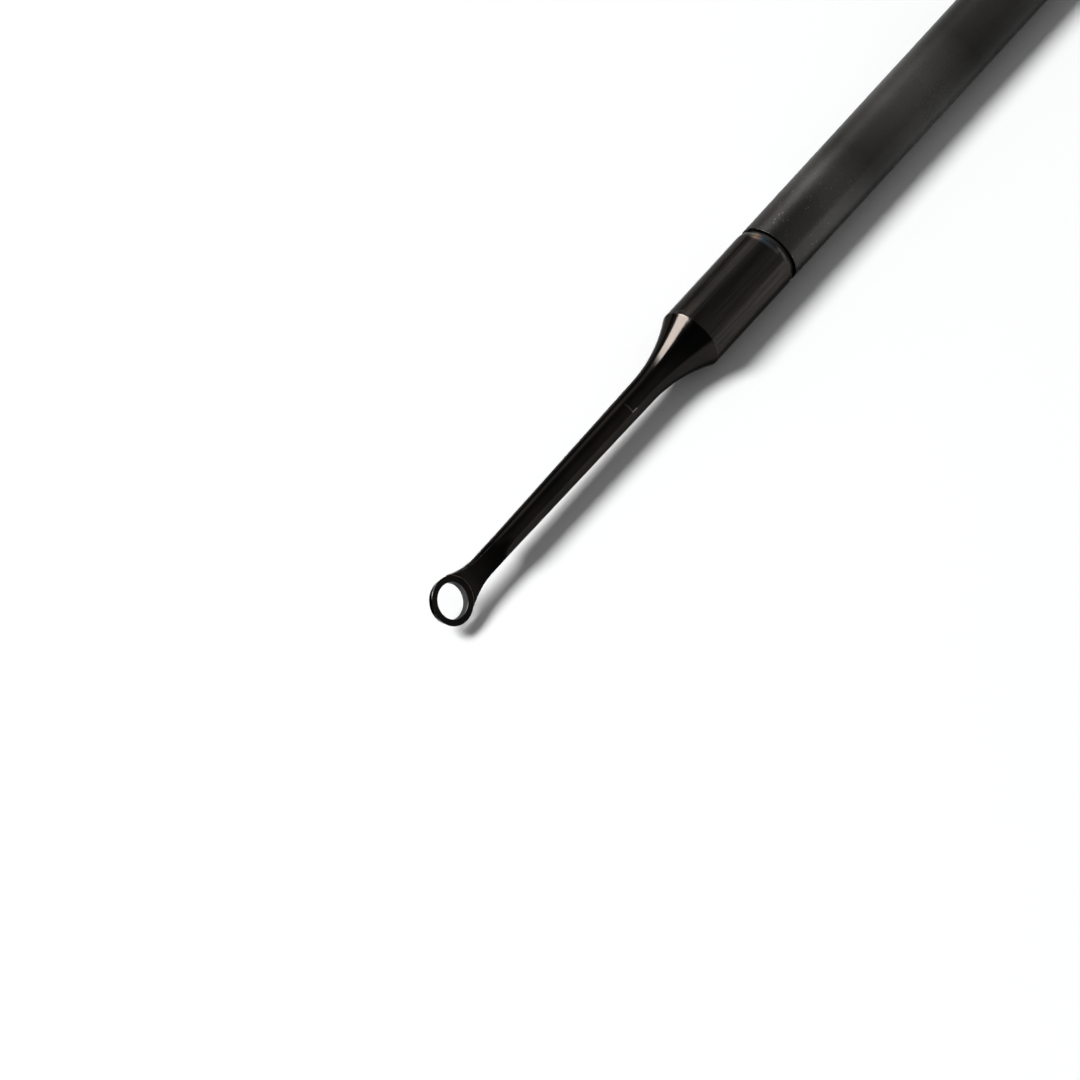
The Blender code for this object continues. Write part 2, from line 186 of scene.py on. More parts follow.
def eased(corners, closed=False):
    """corners holds (x, radius, reach). Returns (x, radius, wear) points."""
    points = []
    count = len(corners)
    for n, (x, r, reach) in enumerate(corners):
        at_end = not closed and n in (0, count - 1)
        if at_end or reach == 0:
            points.append((x, r, 0.0))
            continue
        corner = Vector((x, r))
        before = Vector(corners[n - 1][:2]) - corner
        after = Vector(corners[(n + 1) % count][:2]) - corner
        start = corner + before.normalized() * reach
        end = corner + after.normalized() * reach
        if before.length > LEAST_SIDE * reach:
            support = corner + before.normalized() * reach * SUPPORT_SHARE
            points.append((support.x, support.y, 0.0))
        for step in range(ROUND_STEPS + 1):
            t = step / ROUND_STEPS
            p = start.lerp(corner, t).lerp(corner.lerp(end, t), t)
            points.append((p.x, p.y, math.sin(math.pi * t)))
        if after.length > LEAST_SIDE * reach:
            support = corner + after.normalized() * reach * SUPPORT_SHARE
            points.append((support.x, support.y, 0.0))
    return points


print("points for one corner", len(eased([(0, 0, 0), (0, MM, 0.1 * MM), (MM, MM, 0)])) - 2)


# %% Turn an outline round the axis
def even_angles(sides):
    return [math.tau * i / sides for i in range(sides)]


def circles(points, angles):
    """Rings about X through (x, radius, wear) points. A radius of zero makes a pole."""
    rings = []
    for x, r, wear in points:
        if r < POLE_RADIUS:
            rings.append([((x, 0, 0), wear)])
        else:
            rings.append([((x, r * math.cos(a), r * math.sin(a)), wear) for a in angles])
    return rings


def turned(name, corners, sides, place, closed=False):
    return skin(name, circles(eased(corners, closed), even_angles(sides)), place, loop=closed)


print("helpers for turned pieces ready")

# %% [markdown]
# ## Handle tube
#
# The handle is a plain drawn tube with a satin black coat. Its outer edges are left almost sharp,
# so each seam reads as one dark line. A cylinder with a Solidify modifier would do, but a turned
# outline that goes round the tube's wall and back to its start gives the outside, the bore and
# the broken edges in one go. It has many sides, because the light runs along it in a thin line.

# %% Handle tube
HANDLE_RADIUS = 3.50 * MM
TUBE_BORE_RADIUS = 2.70 * MM
HANDLE_SIDES = 256
handle_outline = [
    (HANDLE_FRONT_X, TUBE_BORE_RADIUS, 0.03 * MM),
    (HANDLE_FRONT_X, HANDLE_RADIUS, 0.01 * MM),
    (HANDLE_REAR_X, HANDLE_RADIUS, 0.01 * MM),
    (HANDLE_REAR_X, TUBE_BORE_RADIUS, 0.03 * MM),
]
handle_skin = turned("handle_skin", handle_outline, HANDLE_SIDES, on_axis, closed=True)
print("handle skin faces", len(handle_skin.data.polygons))

# %% [markdown]
# ## Barrel, flare and spigot
#
# Both tips start alike: a screwed spigot that goes into the handle, a shoulder, a barrel with a
# bevel at the seam, and a hollow flare. The flare leaves the shank along its side and opens ever
# faster to the barrel's rim. An arc is the simple way to draw it, but the photo's outline stays
# closer to the shank for longer, so a power of the distance from the root is used. The spigot's
# body is turned down to the bottom of its thread, and the thread itself is made further on.

# %% The flare's hollow curve
BARREL_RADIUS = 3.54 * MM
SHANK_ROOT_RADIUS = 1.50 * MM
FLARE_STEPS = 40
FLARE_POWER = 2.15


def flare_points():
    """Points down the hollow curve from just inside the rim to the shank's root."""
    rise = BARREL_RADIUS - SHANK_ROOT_RADIUS
    points = []
    for i in range(1, FLARE_STEPS + 1):
        share = i / FLARE_STEPS
        lift = rise * (1 - share) ** FLARE_POWER
        points.append((FLARE_RIM_X + FLARE_LENGTH * share, SHANK_ROOT_RADIUS + lift, 0.0))
    return points


print("flare opens by mm", round((BARREL_RADIUS - SHANK_ROOT_RADIUS) / MM, 2))

# %% The outline that both tips share
SPIGOT_RADIUS = 2.00 * MM
SPIGOT_LENGTH = 7.20 * MM
PILOT_RADIUS = 2.12 * MM
PILOT_LENGTH = 1.30 * MM
PILOT_STEP = 0.12 * MM
THREAD_DEPTH = 0.40 * MM
THREAD_ROOT_RADIUS = SPIGOT_RADIUS - THREAD_DEPTH
BEVEL_LENGTH = 0.50 * MM
BEVEL_DEPTH = 0.15 * MM


def spigot_and_barrel_points():
    corners = [
        (-SPIGOT_LENGTH, 0, 0),
        (-SPIGOT_LENGTH, THREAD_ROOT_RADIUS, 0.20 * MM),
        (-PILOT_LENGTH, THREAD_ROOT_RADIUS, 0),
        (-PILOT_LENGTH + PILOT_STEP, PILOT_RADIUS, 0.04 * MM),
        (0, PILOT_RADIUS, 0),
        (0, BARREL_RADIUS - BEVEL_DEPTH, 0.05 * MM),
        (BEVEL_LENGTH, BARREL_RADIUS, 0.10 * MM),
        (FLARE_RIM_X, BARREL_RADIUS, 0.10 * MM),
        flare_points()[0][:2] + (0,),
    ]
    return eased(corners)


tip_start = spigot_and_barrel_points() + flare_points()[1:]
print("points along a tip from its spigot to its shank", len(tip_start))

# %% [markdown]
# ## Fishtail
#
# Past its neck the round shank is milled to two flats. They run out of the round, close in to
# the ring's depth, and then spread sideways to cradle the ring. No turned outline can do this.
# Booleans could cut the flats, but they leave ragged faces along the creases, so the stretch is a
# row of cross sections. Each one has a crease in every quarter, with a tiny round on it, and the
# lines along the skin end on the ring's seat.

# %% Angles round one cross section
QUARTER = math.pi / 2
QUARTER_STEPS = 16
CREASE_ANGLE = math.radians(2.6)
CREASE_STEPS = 4
NOT_ON_CREASE = -1


def section_angles():
    """(angle, crease share) round a section. The share goes from 0 to 1 across a crease."""
    angles = []
    side = QUARTER / 2 - CREASE_ANGLE
    for quarter in range(4):
        crease = QUARTER / 2 + quarter * QUARTER
        for i in range(QUARTER_STEPS):
            angles.append((crease - CREASE_ANGLE - side * (1 - i / QUARTER_STEPS), NOT_ON_CREASE))
        for i in range(CREASE_STEPS + 1):
            angles.append((crease, i / CREASE_STEPS))
        for i in range(1, QUARTER_STEPS):
            angles.append((crease + CREASE_ANGLE + side * i / QUARTER_STEPS, NOT_ON_CREASE))
    return angles


SECTION_ANGLES = section_angles()
print("points round a section", len(SECTION_ANGLES))


# %% The outline of one cross section
def ease(share):
    return share * share * (3 - 2 * share)


def blend(start, end, share):
    return start + (end - start) * share


def section_point(angle, side, crease_y, crease_z, top):
    """y and z where the section's outline crosses this angle."""
    middle = math.pi / 4
    cosine, sine = math.cos(angle), math.sin(angle)
    if abs(sine) <= math.sin(middle):
        bow = (abs(cosine) - math.cos(middle)) / (1 - math.cos(middle))
        return math.copysign(blend(crease_y, side, bow), cosine), crease_z * sine / math.sin(middle)
    bow = (abs(sine) - math.sin(middle)) / (1 - math.sin(middle))
    return crease_y * cosine / math.cos(middle), math.copysign(blend(crease_z, top, bow), sine)


print("a quarter along a blend", ease(0.25), "and half way", ease(0.5))

# %% A point of the fishtail's skin
SHANK_NECK_RADIUS = 1.25 * MM
SHANK_TAPER = (SHANK_ROOT_RADIUS - SHANK_NECK_RADIUS) / SHANK_LENGTH
RING_HALF_DEPTH = 0.46 * MM
RING_GAP = 0.03 * MM
CRADLE_REACH = 0.64 * RING_FACE_RADIUS
CRADLE_LIP = 0.06 * MM
FISHTAIL_LEAD = 1.00 * MM
FISHTAIL_RUNOUT = 1.80 * MM
FISHTAIL_ROOT_HALF = 0.68 * MM
FISHTAIL_SPREAD = 4.00 * MM
FISHTAIL_CROWN = 0.04 * MM
FISHTAIL_REACH = RING_CENTRE_X - CRADLE_REACH - SHANK_NECK_X

SEAT_RADIUS = RING_FACE_RADIUS + RING_GAP
CRADLE_HALF_WIDTH = math.sqrt(SEAT_RADIUS ** 2 - CRADLE_REACH ** 2) + CRADLE_LIP
CREASE_SPREAD = CRADLE_HALF_WIDTH - math.sqrt(SHANK_NECK_RADIUS ** 2 - RING_HALF_DEPTH ** 2)
SIDE_SPREAD = CRADLE_HALF_WIDTH + FISHTAIL_CROWN - SHANK_NECK_RADIUS


def fishtail_point(along, angle, crease_share):
    """A point of the fishtail, at a distance past the neck, with its wear."""
    neck = SHANK_NECK_RADIUS + SHANK_TAPER * max(0, -along)
    run_out = ease(min(1, (along + FISHTAIL_LEAD) / (FISHTAIL_RUNOUT + FISHTAIL_LEAD)))
    thinning = max(0, min(1, along / FISHTAIL_LENGTH))
    widening = (max(0, along - FISHTAIL_REACH + FISHTAIL_SPREAD) / FISHTAIL_SPREAD) ** 2
    flat = blend(FISHTAIL_ROOT_HALF, RING_HALF_DEPTH, thinning)
    crease_z = blend(neck * math.sqrt(0.5), flat, run_out)
    crease_y = math.sqrt(neck ** 2 - crease_z ** 2) + CREASE_SPREAD * widening
    sizes = (neck + SIDE_SPREAD * widening, crease_y, crease_z, blend(neck, flat, run_out))
    if crease_share < 0:
        y, z = section_point(angle, *sizes)
        return Vector((SHANK_NECK_X + along, y, z)), 0.0
    start = Vector(section_point(angle - CREASE_ANGLE, *sizes))
    corner = Vector(section_point(angle, *sizes))
    end = Vector(section_point(angle + CREASE_ANGLE, *sizes))
    p = start.lerp(corner, crease_share).lerp(corner.lerp(end, crease_share), crease_share)
    return Vector((SHANK_NECK_X + along, p.x, p.y)), run_out * math.sin(math.pi * crease_share)


print("fishtail reaches mm past the neck", round(FISHTAIL_REACH / MM, 3))

# %% Where a line along the fishtail meets the ring's seat
RING_REAR_RADIUS = 2.36 * MM
HALVINGS = 40


def seat_x(y, z):
    """The seat's wall at this y and z: a cone that narrows to the ring's rear face."""
    share = (z + RING_HALF_DEPTH) / (2 * RING_HALF_DEPTH)
    radius = blend(RING_REAR_RADIUS, RING_FACE_RADIUS, share) + RING_GAP
    if abs(y) >= radius:
        return RING_CENTRE_X
    return RING_CENTRE_X - math.sqrt(radius ** 2 - y ** 2)


def end_along(angle, crease_share):
    """How far along this line of the skin runs before it meets the seat, found by halving."""
    low, high = FISHTAIL_REACH / 2, FISHTAIL_REACH
    point = fishtail_point(high, angle, crease_share)[0]
    if point.x < seat_x(point.y, point.z):
        return high
    for _ in range(HALVINGS):
        middle = (low + high) / 2
        point = fishtail_point(middle, angle, crease_share)[0]
        if point.x < seat_x(point.y, point.z):
            low = middle
        else:
            high = middle
    return low


LINE_ENDS = [end_along(angle, share) for angle, share in SECTION_ANGLES]
print("fishtail lines end from mm", round(min(LINE_ENDS) / MM, 3), "to", round(max(LINE_ENDS) / MM, 3))

# %% Front tip body
FISHTAIL_STEPS = 64
SHANK_STEPS = 12


def shank_points():
    points = []
    for i in range(1, SHANK_STEPS + 1):
        share = i / SHANK_STEPS * (1 - FISHTAIL_LEAD / SHANK_LENGTH)
        radius = blend(SHANK_ROOT_RADIUS, SHANK_NECK_RADIUS, share)
        points.append((FLARE_ROOT_X + SHANK_LENGTH * share, radius, 0.0))
    return points


def fishtail_rings():
    rings = []
    for i in range(1, FISHTAIL_STEPS + 1):
        share = i / FISHTAIL_STEPS
        rings.append([
            fishtail_point(blend(-FISHTAIL_LEAD, end, share), angle, crease_share)
            for (angle, crease_share), end in zip(SECTION_ANGLES, LINE_ENDS)
        ])
    return rings


def creased_angles():
    """The same points round a circle as round a creased section."""
    angles = []
    for angle, share in SECTION_ANGLES:
        angles.append(angle if share < 0 else angle + CREASE_ANGLE * (2 * share - 1))
    return angles


def cradle_faces():
    """Faces of the seat, between each point above the middle plane and the one below it."""
    count = len(SECTION_ANGLES)
    return [(i, i + 1, (count - i - 1) % count, (count - i) % count) for i in range(count // 2)]


front_tip_rings = circles(tip_start + shank_points(), creased_angles()) + fishtail_rings()
front_tip_skin = skin("front_tip_skin", front_tip_rings, ring_tip_place, end_faces=cradle_faces())
print("front tip faces", len(front_tip_skin.data.polygons))

# %% [markdown]
# ## Cutting ring
#
# The ring is a short tube with a straight hole. Its outer wall narrows a little to the rear, so
# that the front edge is the one that cuts. A torus would be too round for it: the photo shows a
# flat face with two crisp edges. So it is turned about its own axis like the rest, and its matrix
# stands it up in the fishtail's cradle. The points of the hole's wall carry a mark above 1 in
# place of wear, and by that mark the finish knows the wall that was ground.

# %% Cutting ring
RING_HOLE_RADIUS = 1.92 * MM
RING_SIDES = 192
HOLE_MARK = 2.0
HOLE_MARGIN = 0.01 * MM

ring_outline = [
    (-RING_HALF_DEPTH, RING_HOLE_RADIUS, 0.04 * MM),
    (-RING_HALF_DEPTH, RING_REAR_RADIUS, 0.05 * MM),
    (RING_HALF_DEPTH, RING_FACE_RADIUS, 0.05 * MM),
    (RING_HALF_DEPTH, RING_HOLE_RADIUS, 0.05 * MM),
]
ring_points = [
    (x, r, HOLE_MARK if r < RING_HOLE_RADIUS + HOLE_MARGIN else wear)
    for x, r, wear in eased(ring_outline, closed=True)
]
ring_skin = skin("ring_skin", circles(ring_points, even_angles(RING_SIDES)), ring_place, loop=True)
print("ring faces", len(ring_skin.data.polygons))

# %% [markdown]
# ## Braze line
#
# The ring is brazed into its cradle, and the braze shows on the ring's face as a thin dull line.
# It could be painted on, but in the photo it stands a hair above the face and catches light. So
# it is a bead: one small section carried along the gap, which thins to nothing at both ends.

# %% Braze line between the ring and its cradle
BRAZE_SECTION_MM = [
    (-0.024, -0.100), (0.024, -0.100), (0.028, 0.004),
    (0.012, 0.012), (-0.012, 0.012), (-0.028, 0.004),
]
BRAZE_STEPS = 48
BRAZE_HALF_ANGLE = math.acos(CRADLE_REACH / SEAT_RADIUS)
BRAZE_END_WIDTH = 0.05
BRAZE_END_POWER = 8
FULL_WEAR = 1.0


def braze_ring(angle, width):
    """The bead's section, which is given across the gap and up from the ring's face."""
    middle = RING_FACE_RADIUS + RING_GAP / 2
    ring = []
    for across, up in BRAZE_SECTION_MM:
        radius = middle + across * MM * width
        x = RING_CENTRE_X - radius * math.cos(angle)
        ring.append(((x, radius * math.sin(angle), RING_HALF_DEPTH + up * MM), FULL_WEAR))
    return ring


def pole(ring):
    """A ring of one point, in the middle of another ring, that closes its end."""
    return [(sum((Vector(point) for point, _ in ring), Vector()) / len(ring), FULL_WEAR)]


braze_rings = []
for i in range(BRAZE_STEPS + 1):
    share = 2 * i / BRAZE_STEPS - 1
    width = max(BRAZE_END_WIDTH, 1 - abs(share) ** BRAZE_END_POWER)
    braze_rings.append(braze_ring(BRAZE_HALF_ANGLE * share, width))
braze_rings = [pole(braze_rings[0]), *braze_rings, pole(braze_rings[-1])]
braze_line = skin("braze_line", braze_rings, ring_tip_place)
print("braze faces", len(braze_line.data.polygons))

# %% [markdown]
# ## Needle end
#
# The other tip has the same spigot, barrel and flare, then a short stub with a drilled nose. A
# steel needle is pressed into it and ground to a long point. This end is out of the photo, so it
# repeats the front tip as far as it can and ends in the plainest holder for a needle. A copy of
# the front tip's mesh could be cut off and closed, but the cut would have to be cleaned by hand.
# The outline is only a list, so the front tip's first points are simply used again.

# %% Rear tip body
STUB_LENGTH = 6.00 * MM
STUB_NOSE_RADIUS = 1.10 * MM
STUB_NOSE_X = FLARE_ROOT_X + STUB_LENGTH
NEEDLE_RADIUS = 0.45 * MM
NEEDLE_SEAT = 6.00 * MM
NEEDLE_BORE_RADIUS = NEEDLE_RADIUS + RING_GAP
TIP_SIDES = 160

stub_corners = [
    tip_start[-1],
    (STUB_NOSE_X, STUB_NOSE_RADIUS, 0.30 * MM),
    (STUB_NOSE_X, NEEDLE_BORE_RADIUS, 0.05 * MM),
    (STUB_NOSE_X - NEEDLE_SEAT - RING_GAP, NEEDLE_BORE_RADIUS, 0),
    (STUB_NOSE_X - NEEDLE_SEAT - RING_GAP, 0, 0),
]
rear_points = tip_start + eased(stub_corners)[1:]
rear_tip_skin = skin("rear_tip_skin", circles(rear_points, even_angles(TIP_SIDES)), rear_place)
print("rear tip faces", len(rear_tip_skin.data.polygons))

# %% Needle
NEEDLE_REACH = 9.00 * MM
NEEDLE_TAPER = 5.50 * MM
NEEDLE_TIP_RADIUS = 0.045 * MM
NEEDLE_SIDES = 64
NEEDLE_POINT_X = STUB_NOSE_X + NEEDLE_REACH

needle_outline = [
    (STUB_NOSE_X - NEEDLE_SEAT, 0, 0),
    (STUB_NOSE_X - NEEDLE_SEAT, NEEDLE_RADIUS, 0.04 * MM),
    (NEEDLE_POINT_X - NEEDLE_TAPER, NEEDLE_RADIUS, 0.50 * MM),
    (NEEDLE_POINT_X - 0.10 * MM, NEEDLE_TIP_RADIUS, 0.06 * MM),
    (NEEDLE_POINT_X, 0, 0),
]
needle_skin = turned("needle_skin", needle_outline, NEEDLE_SIDES, rear_place)
print("needle faces", len(needle_skin.data.polygons))

# %% [markdown]
# ## Needle cap
#
# A clear cap slides over the stub and the needle. It is a tube with a round end, and a small lip
# at its mouth to pull it off by. Light bends twice in clear plastic, where it enters the wall and
# where it leaves it, so the cap needs a real inside. Its outline runs up the bore, round the
# mouth and back over the outside.

# %% Needle cap
CAP_BORE_RADIUS = 1.55 * MM
CAP_RADIUS = 2.15 * MM
CAP_WALL = 0.60 * MM
CAP_LIP_RADIUS = 2.40 * MM
CAP_LIP_LENGTH = 0.80 * MM
CAP_POINT_SPACE = 1.50 * MM
CAP_MOUTH_X = FLARE_ROOT_X + SEAT_GAP
CAP_BORE_END_X = NEEDLE_POINT_X + CAP_POINT_SPACE
CAP_CROWN_X = CAP_BORE_END_X + CAP_WALL
CAP_SIDES = 128
DOME_STEPS = 14


def dome(x, radius):
    """Points of a half round end, from its side to its crown."""
    points = []
    for i in range(DOME_STEPS):
        angle = i / DOME_STEPS * math.pi / 2
        points.append((x + radius * math.sin(angle), radius * math.cos(angle), 0.0))
    return points + [(x + radius, 0, 0.0)]


cap_bore = dome(CAP_BORE_END_X - CAP_BORE_RADIUS, CAP_BORE_RADIUS)[::-1]
cap_mouth = eased([
    cap_bore[-1],
    (CAP_MOUTH_X, CAP_BORE_RADIUS, 0.10 * MM),
    (CAP_MOUTH_X, CAP_LIP_RADIUS, 0.16 * MM),
    (CAP_MOUTH_X + CAP_LIP_LENGTH, CAP_LIP_RADIUS, 0.16 * MM),
    (CAP_MOUTH_X + CAP_LIP_LENGTH, CAP_RADIUS, 0.12 * MM),
    (CAP_CROWN_X - CAP_RADIUS, CAP_RADIUS, 0),
])[1:-1]
cap_crown = dome(CAP_CROWN_X - CAP_RADIUS, CAP_RADIUS)
cap_points = cap_bore + cap_mouth + cap_crown
cap_skin = skin("cap_skin", circles(cap_points, even_angles(CAP_SIDES)), rear_place)
print("cap faces", len(cap_skin.data.polygons))

# %% [markdown]
# ## Seal rings and sockets
#
# A flat rubber ring sits in each seam, set back from the barrel's side, so the seam reads as a
# dark groove. Behind it a steel socket is pressed into the tube. Little of either shows until a
# tip is unscrewed. A torus would make a round seal, but this one is flat with rounded outer
# edges, and a drilled cylinder would need a Boolean. So both are turned outlines again, the
# seal's a closed one round its section and the socket's an open one down to its bore's end.

# %% Seal rings
SEAL_THICKNESS = 0.44 * MM
SEAL_RADIUS = 3.15 * MM
PILOT_BORE_RADIUS = 2.17 * MM

seal_outline = [
    (-SEAT_GAP - SEAL_THICKNESS, PILOT_BORE_RADIUS, 0.04 * MM),
    (-SEAT_GAP - SEAL_THICKNESS, SEAL_RADIUS, 0.16 * MM),
    (-SEAT_GAP, SEAL_RADIUS, 0.16 * MM),
    (-SEAT_GAP, PILOT_BORE_RADIUS, 0.04 * MM),
]
front_seal_skin = turned("front_seal_skin", seal_outline, TIP_SIDES, front_place, closed=True)
rear_seal_skin = turned("rear_seal_skin", seal_outline, TIP_SIDES, rear_place, closed=True)
print("seal faces", len(front_seal_skin.data.polygons))

# %% Sockets
SOCKET_RADIUS = 2.67 * MM
SOCKET_LENGTH = 9.0 * MM
THREAD_BORE_RADIUS = 2.05 * MM
RUNNING_GAP = 0.05 * MM
BORE_END_SPACE = 0.60 * MM

pilot_depth = PILOT_LENGTH - SEAM - SOCKET_SETBACK + RUNNING_GAP
bore_depth = SPIGOT_LENGTH - SEAM - SOCKET_SETBACK + BORE_END_SPACE
socket_outline = [
    (-SOCKET_LENGTH, 0, 0),
    (-SOCKET_LENGTH, SOCKET_RADIUS, 0.30 * MM),
    (0, SOCKET_RADIUS, 0.06 * MM),
    (0, PILOT_BORE_RADIUS, 0.05 * MM),
    (-pilot_depth, PILOT_BORE_RADIUS, 0),
    (-pilot_depth - PILOT_STEP, THREAD_BORE_RADIUS, 0),
    (-bore_depth, THREAD_BORE_RADIUS, 0),
    (-bore_depth, 0, 0),
]
front_socket_skin = turned("front_socket_skin", socket_outline, TIP_SIDES, front_socket_place)
rear_socket_skin = turned("rear_socket_skin", socket_outline, TIP_SIDES, rear_socket_place)
print("socket faces", len(front_socket_skin.data.polygons))

# %% [markdown]
# ## Building node trees
#
# Both shaders and Geometry Nodes are graphs, and a short helper keeps the script readable: it
# makes a node, sets its options, and fills each input with a value or a link. A few more helpers
# name the nodes that come back most often. The last two make a group with named sockets and use
# it, so that one effect serves several finishes.

# %% Node helpers
def add(tree, kind, inputs=None, **options):
    node = tree.nodes.new(kind)
    for key, value in options.items():
        setattr(node, key, value)
    for key, value in (inputs or {}).items():
        if isinstance(value, bpy.types.NodeSocket):
            tree.links.new(value, node.inputs[key])
        else:
            node.inputs[key].default_value = value
    return node


def math_node(tree, operation, first, second=0.0, third=0.0):
    inputs = {0: first, 1: second, 2: third}
    return add(tree, "ShaderNodeMath", inputs, operation=operation).outputs[0]


def times(tree, first, second):
    return math_node(tree, "MULTIPLY", first, second)


def times_plus(tree, value, factor, base):
    return math_node(tree, "MULTIPLY_ADD", value, factor, base)


def vector_node(tree, operation, first, second):
    inputs = {0: first, 1: second}
    return add(tree, "ShaderNodeVectorMath", inputs, operation=operation).outputs


def scaled(tree, vector, factor):
    inputs = {0: vector, "Scale": factor}
    return add(tree, "ShaderNodeVectorMath", inputs, operation="SCALE").outputs[0]


def split(tree, vector):
    return add(tree, "ShaderNodeSeparateXYZ", {0: vector}).outputs


def noise(tree, vector, scale, detail, **more):
    inputs = {"Vector": vector, "Scale": scale, "Detail": detail, **more}
    return add(tree, "ShaderNodeTexNoise", inputs).outputs["Fac"]


def remap(tree, value, low, high, at_low=0.0, at_high=1.0, curve="LINEAR"):
    """A level that goes from at_low to at_high while the value goes from low to high."""
    inputs = {"Value": value, "From Min": low, "From Max": high, "To Min": at_low, "To Max": at_high}
    return add(tree, "ShaderNodeMapRange", inputs, interpolation_type=curve).outputs["Result"]


print("node helpers ready")

# %% Groups of nodes
FLOAT, VECTOR = "NodeSocketFloat", "NodeSocketVector"


def new_group(name, settings, output, kind="ShaderNodeTree", gives=FLOAT):
    """An empty group, its inputs and its one output.

    A setting is a number's default, or else the type of a socket that has no default.
    """
    group = bpy.data.node_groups.new(name, kind)
    for label, default in settings.items():
        takes = default if isinstance(default, str) else FLOAT
        socket = group.interface.new_socket(label, in_out="INPUT", socket_type=takes)
        if takes == FLOAT:
            socket.default_value = default
    group.interface.new_socket(output, in_out="OUTPUT", socket_type=gives)
    got = group.nodes.new("NodeGroupInput").outputs
    return group, got, group.nodes.new("NodeGroupOutput").inputs[output]


def effect(tree, group, position, **settings):
    """The number that a group gives at a position. Settings have _ where labels have a space."""
    inputs = {label.replace("_", " "): value for label, value in settings.items()}
    inputs["Position"] = position
    return add(tree, "ShaderNodeGroup", inputs, node_tree=group).outputs[0]


print("group helpers ready")

# %% [markdown]
# ## Effects that the finishes share
#
# Six marks of making and use show on this tool. A lathe leaves fine rings round the axis, and a
# wheel or belt leaves marks along it. A thin hard coat drifts in tone from place to place. Edges
# that are rubbed lose some of it, and specks and scratches come with use. Pictures of such marks
# could be wrapped round the pieces, but they show a seam and blur close up. So each effect is a
# group of nodes that works from the position in the tool's own frame, with the axis at zero.

# %% Rings that the lathe leaves
lathe_rings, got, put = new_group(
    "lathe_rings", {"Position": VECTOR, "Rings per metre": 9000.0, "Waver": 0.4}, "Height")
waver = noise(lathe_rings, got["Position"], scale=180.0, detail=1.0)
counted = times(lathe_rings, split(lathe_rings, got["Position"])["X"], got["Rings per metre"])
shifted = times_plus(lathe_rings, waver, got["Waver"], counted)
ring_noise = add(
    lathe_rings, "ShaderNodeTexNoise", {"W": shifted, "Scale": 1.0, "Detail": 3.0},
    noise_dimensions="1D")
lathe_rings.links.new(ring_noise.outputs["Fac"], put)
print("lathe rings, nodes", len(lathe_rings.nodes))

# %% Marks along the tool
long_marks, got, put = new_group(
    "long_marks", {"Position": VECTOR, "Fineness": 6000.0, "Stretch": 0.03}, "Height")
stretch = add(long_marks, "ShaderNodeCombineXYZ", {"X": got["Stretch"], "Y": 1.0, "Z": 1.0})
drawn = vector_node(long_marks, "MULTIPLY", got["Position"], stretch.outputs[0])[0]
long_marks.links.new(noise(long_marks, drawn, got["Fineness"], detail=4.0, Roughness=0.6), put)
print("marks along the tool, nodes", len(long_marks.nodes))

# %% Slow drift of a coat's tone
coat_drift, got, put = new_group(
    "coat_drift", {"Position": VECTOR, "Patches per metre": 250.0}, "Share")
patches = noise(coat_drift, got["Position"], got["Patches per metre"], detail=3.0)
coat_drift.links.new(remap(coat_drift, patches, 0.35, 0.65), put)
print("drift, nodes", len(coat_drift.nodes))

# %% Rubbed edges
rub_wear, got, put = new_group(
    "rub_wear", {"Position": VECTOR, "Edge": 0.0, "Patches per metre": 2500.0, "Amount": 0.5}, "Mask")
patches = noise(rub_wear, got["Position"], got["Patches per metre"], detail=3.0)
worn = remap(rub_wear, times(rub_wear, patches, got["Edge"]), 0.30, 0.62)
rub_wear.links.new(times(rub_wear, worn, got["Amount"]), put)
print("rubbed edges, nodes", len(rub_wear.nodes))

# %% Specks: small dots in a few cells of an uneven grid
fine_specks, got, put = new_group(
    "fine_specks", {"Position": VECTOR, "Specks per metre": 3000.0, "Share": 0.04}, "Mask")
cells = add(
    fine_specks, "ShaderNodeTexVoronoi",
    {"Vector": got["Position"], "Scale": got["Specks per metre"]}).outputs
chance = add(fine_specks, "ShaderNodeSeparateColor", {0: cells["Color"]}).outputs[0]
chosen = math_node(fine_specks, "LESS_THAN", chance, got["Share"])
dot = remap(fine_specks, cells["Distance"], 0.32, 0.12)
fine_specks.links.new(times(fine_specks, chosen, dot), put)
print("specks, nodes", len(fine_specks.nodes))

# %% Scratch: how near a point on the upper side is to a line, seen from above
FROM_ABOVE = (1.0, 1.0, 0.0)

fine_scratch, got, put = new_group(
    "fine_scratch",
    {"Position": VECTOR, "Start": VECTOR, "Run": VECTOR, "Half width": 0.055 * MM}, "Mask")
from_start = vector_node(fine_scratch, "SUBTRACT", got["Position"], got["Start"])[0]
from_start = vector_node(fine_scratch, "MULTIPLY", from_start, FROM_ABOVE)[0]
along_run = vector_node(fine_scratch, "DOT_PRODUCT", from_start, got["Run"])["Value"]
run_squared = vector_node(fine_scratch, "DOT_PRODUCT", got["Run"], got["Run"])["Value"]
share = add(
    fine_scratch, "ShaderNodeMath", {0: along_run, 1: run_squared}, operation="DIVIDE", use_clamp=True)
nearest = scaled(fine_scratch, got["Run"], share.outputs[0])
gap = vector_node(fine_scratch, "DISTANCE", from_start, nearest)["Value"]
cut = remap(fine_scratch, gap, 0.0, got["Half width"], 1.0, 0.0)
on_top = math_node(fine_scratch, "GREATER_THAN", split(fine_scratch, got["Position"])["Z"], 0.0)
fine_scratch.links.new(times(fine_scratch, cut, on_top), put)
print("scratch, nodes", len(fine_scratch.nodes))


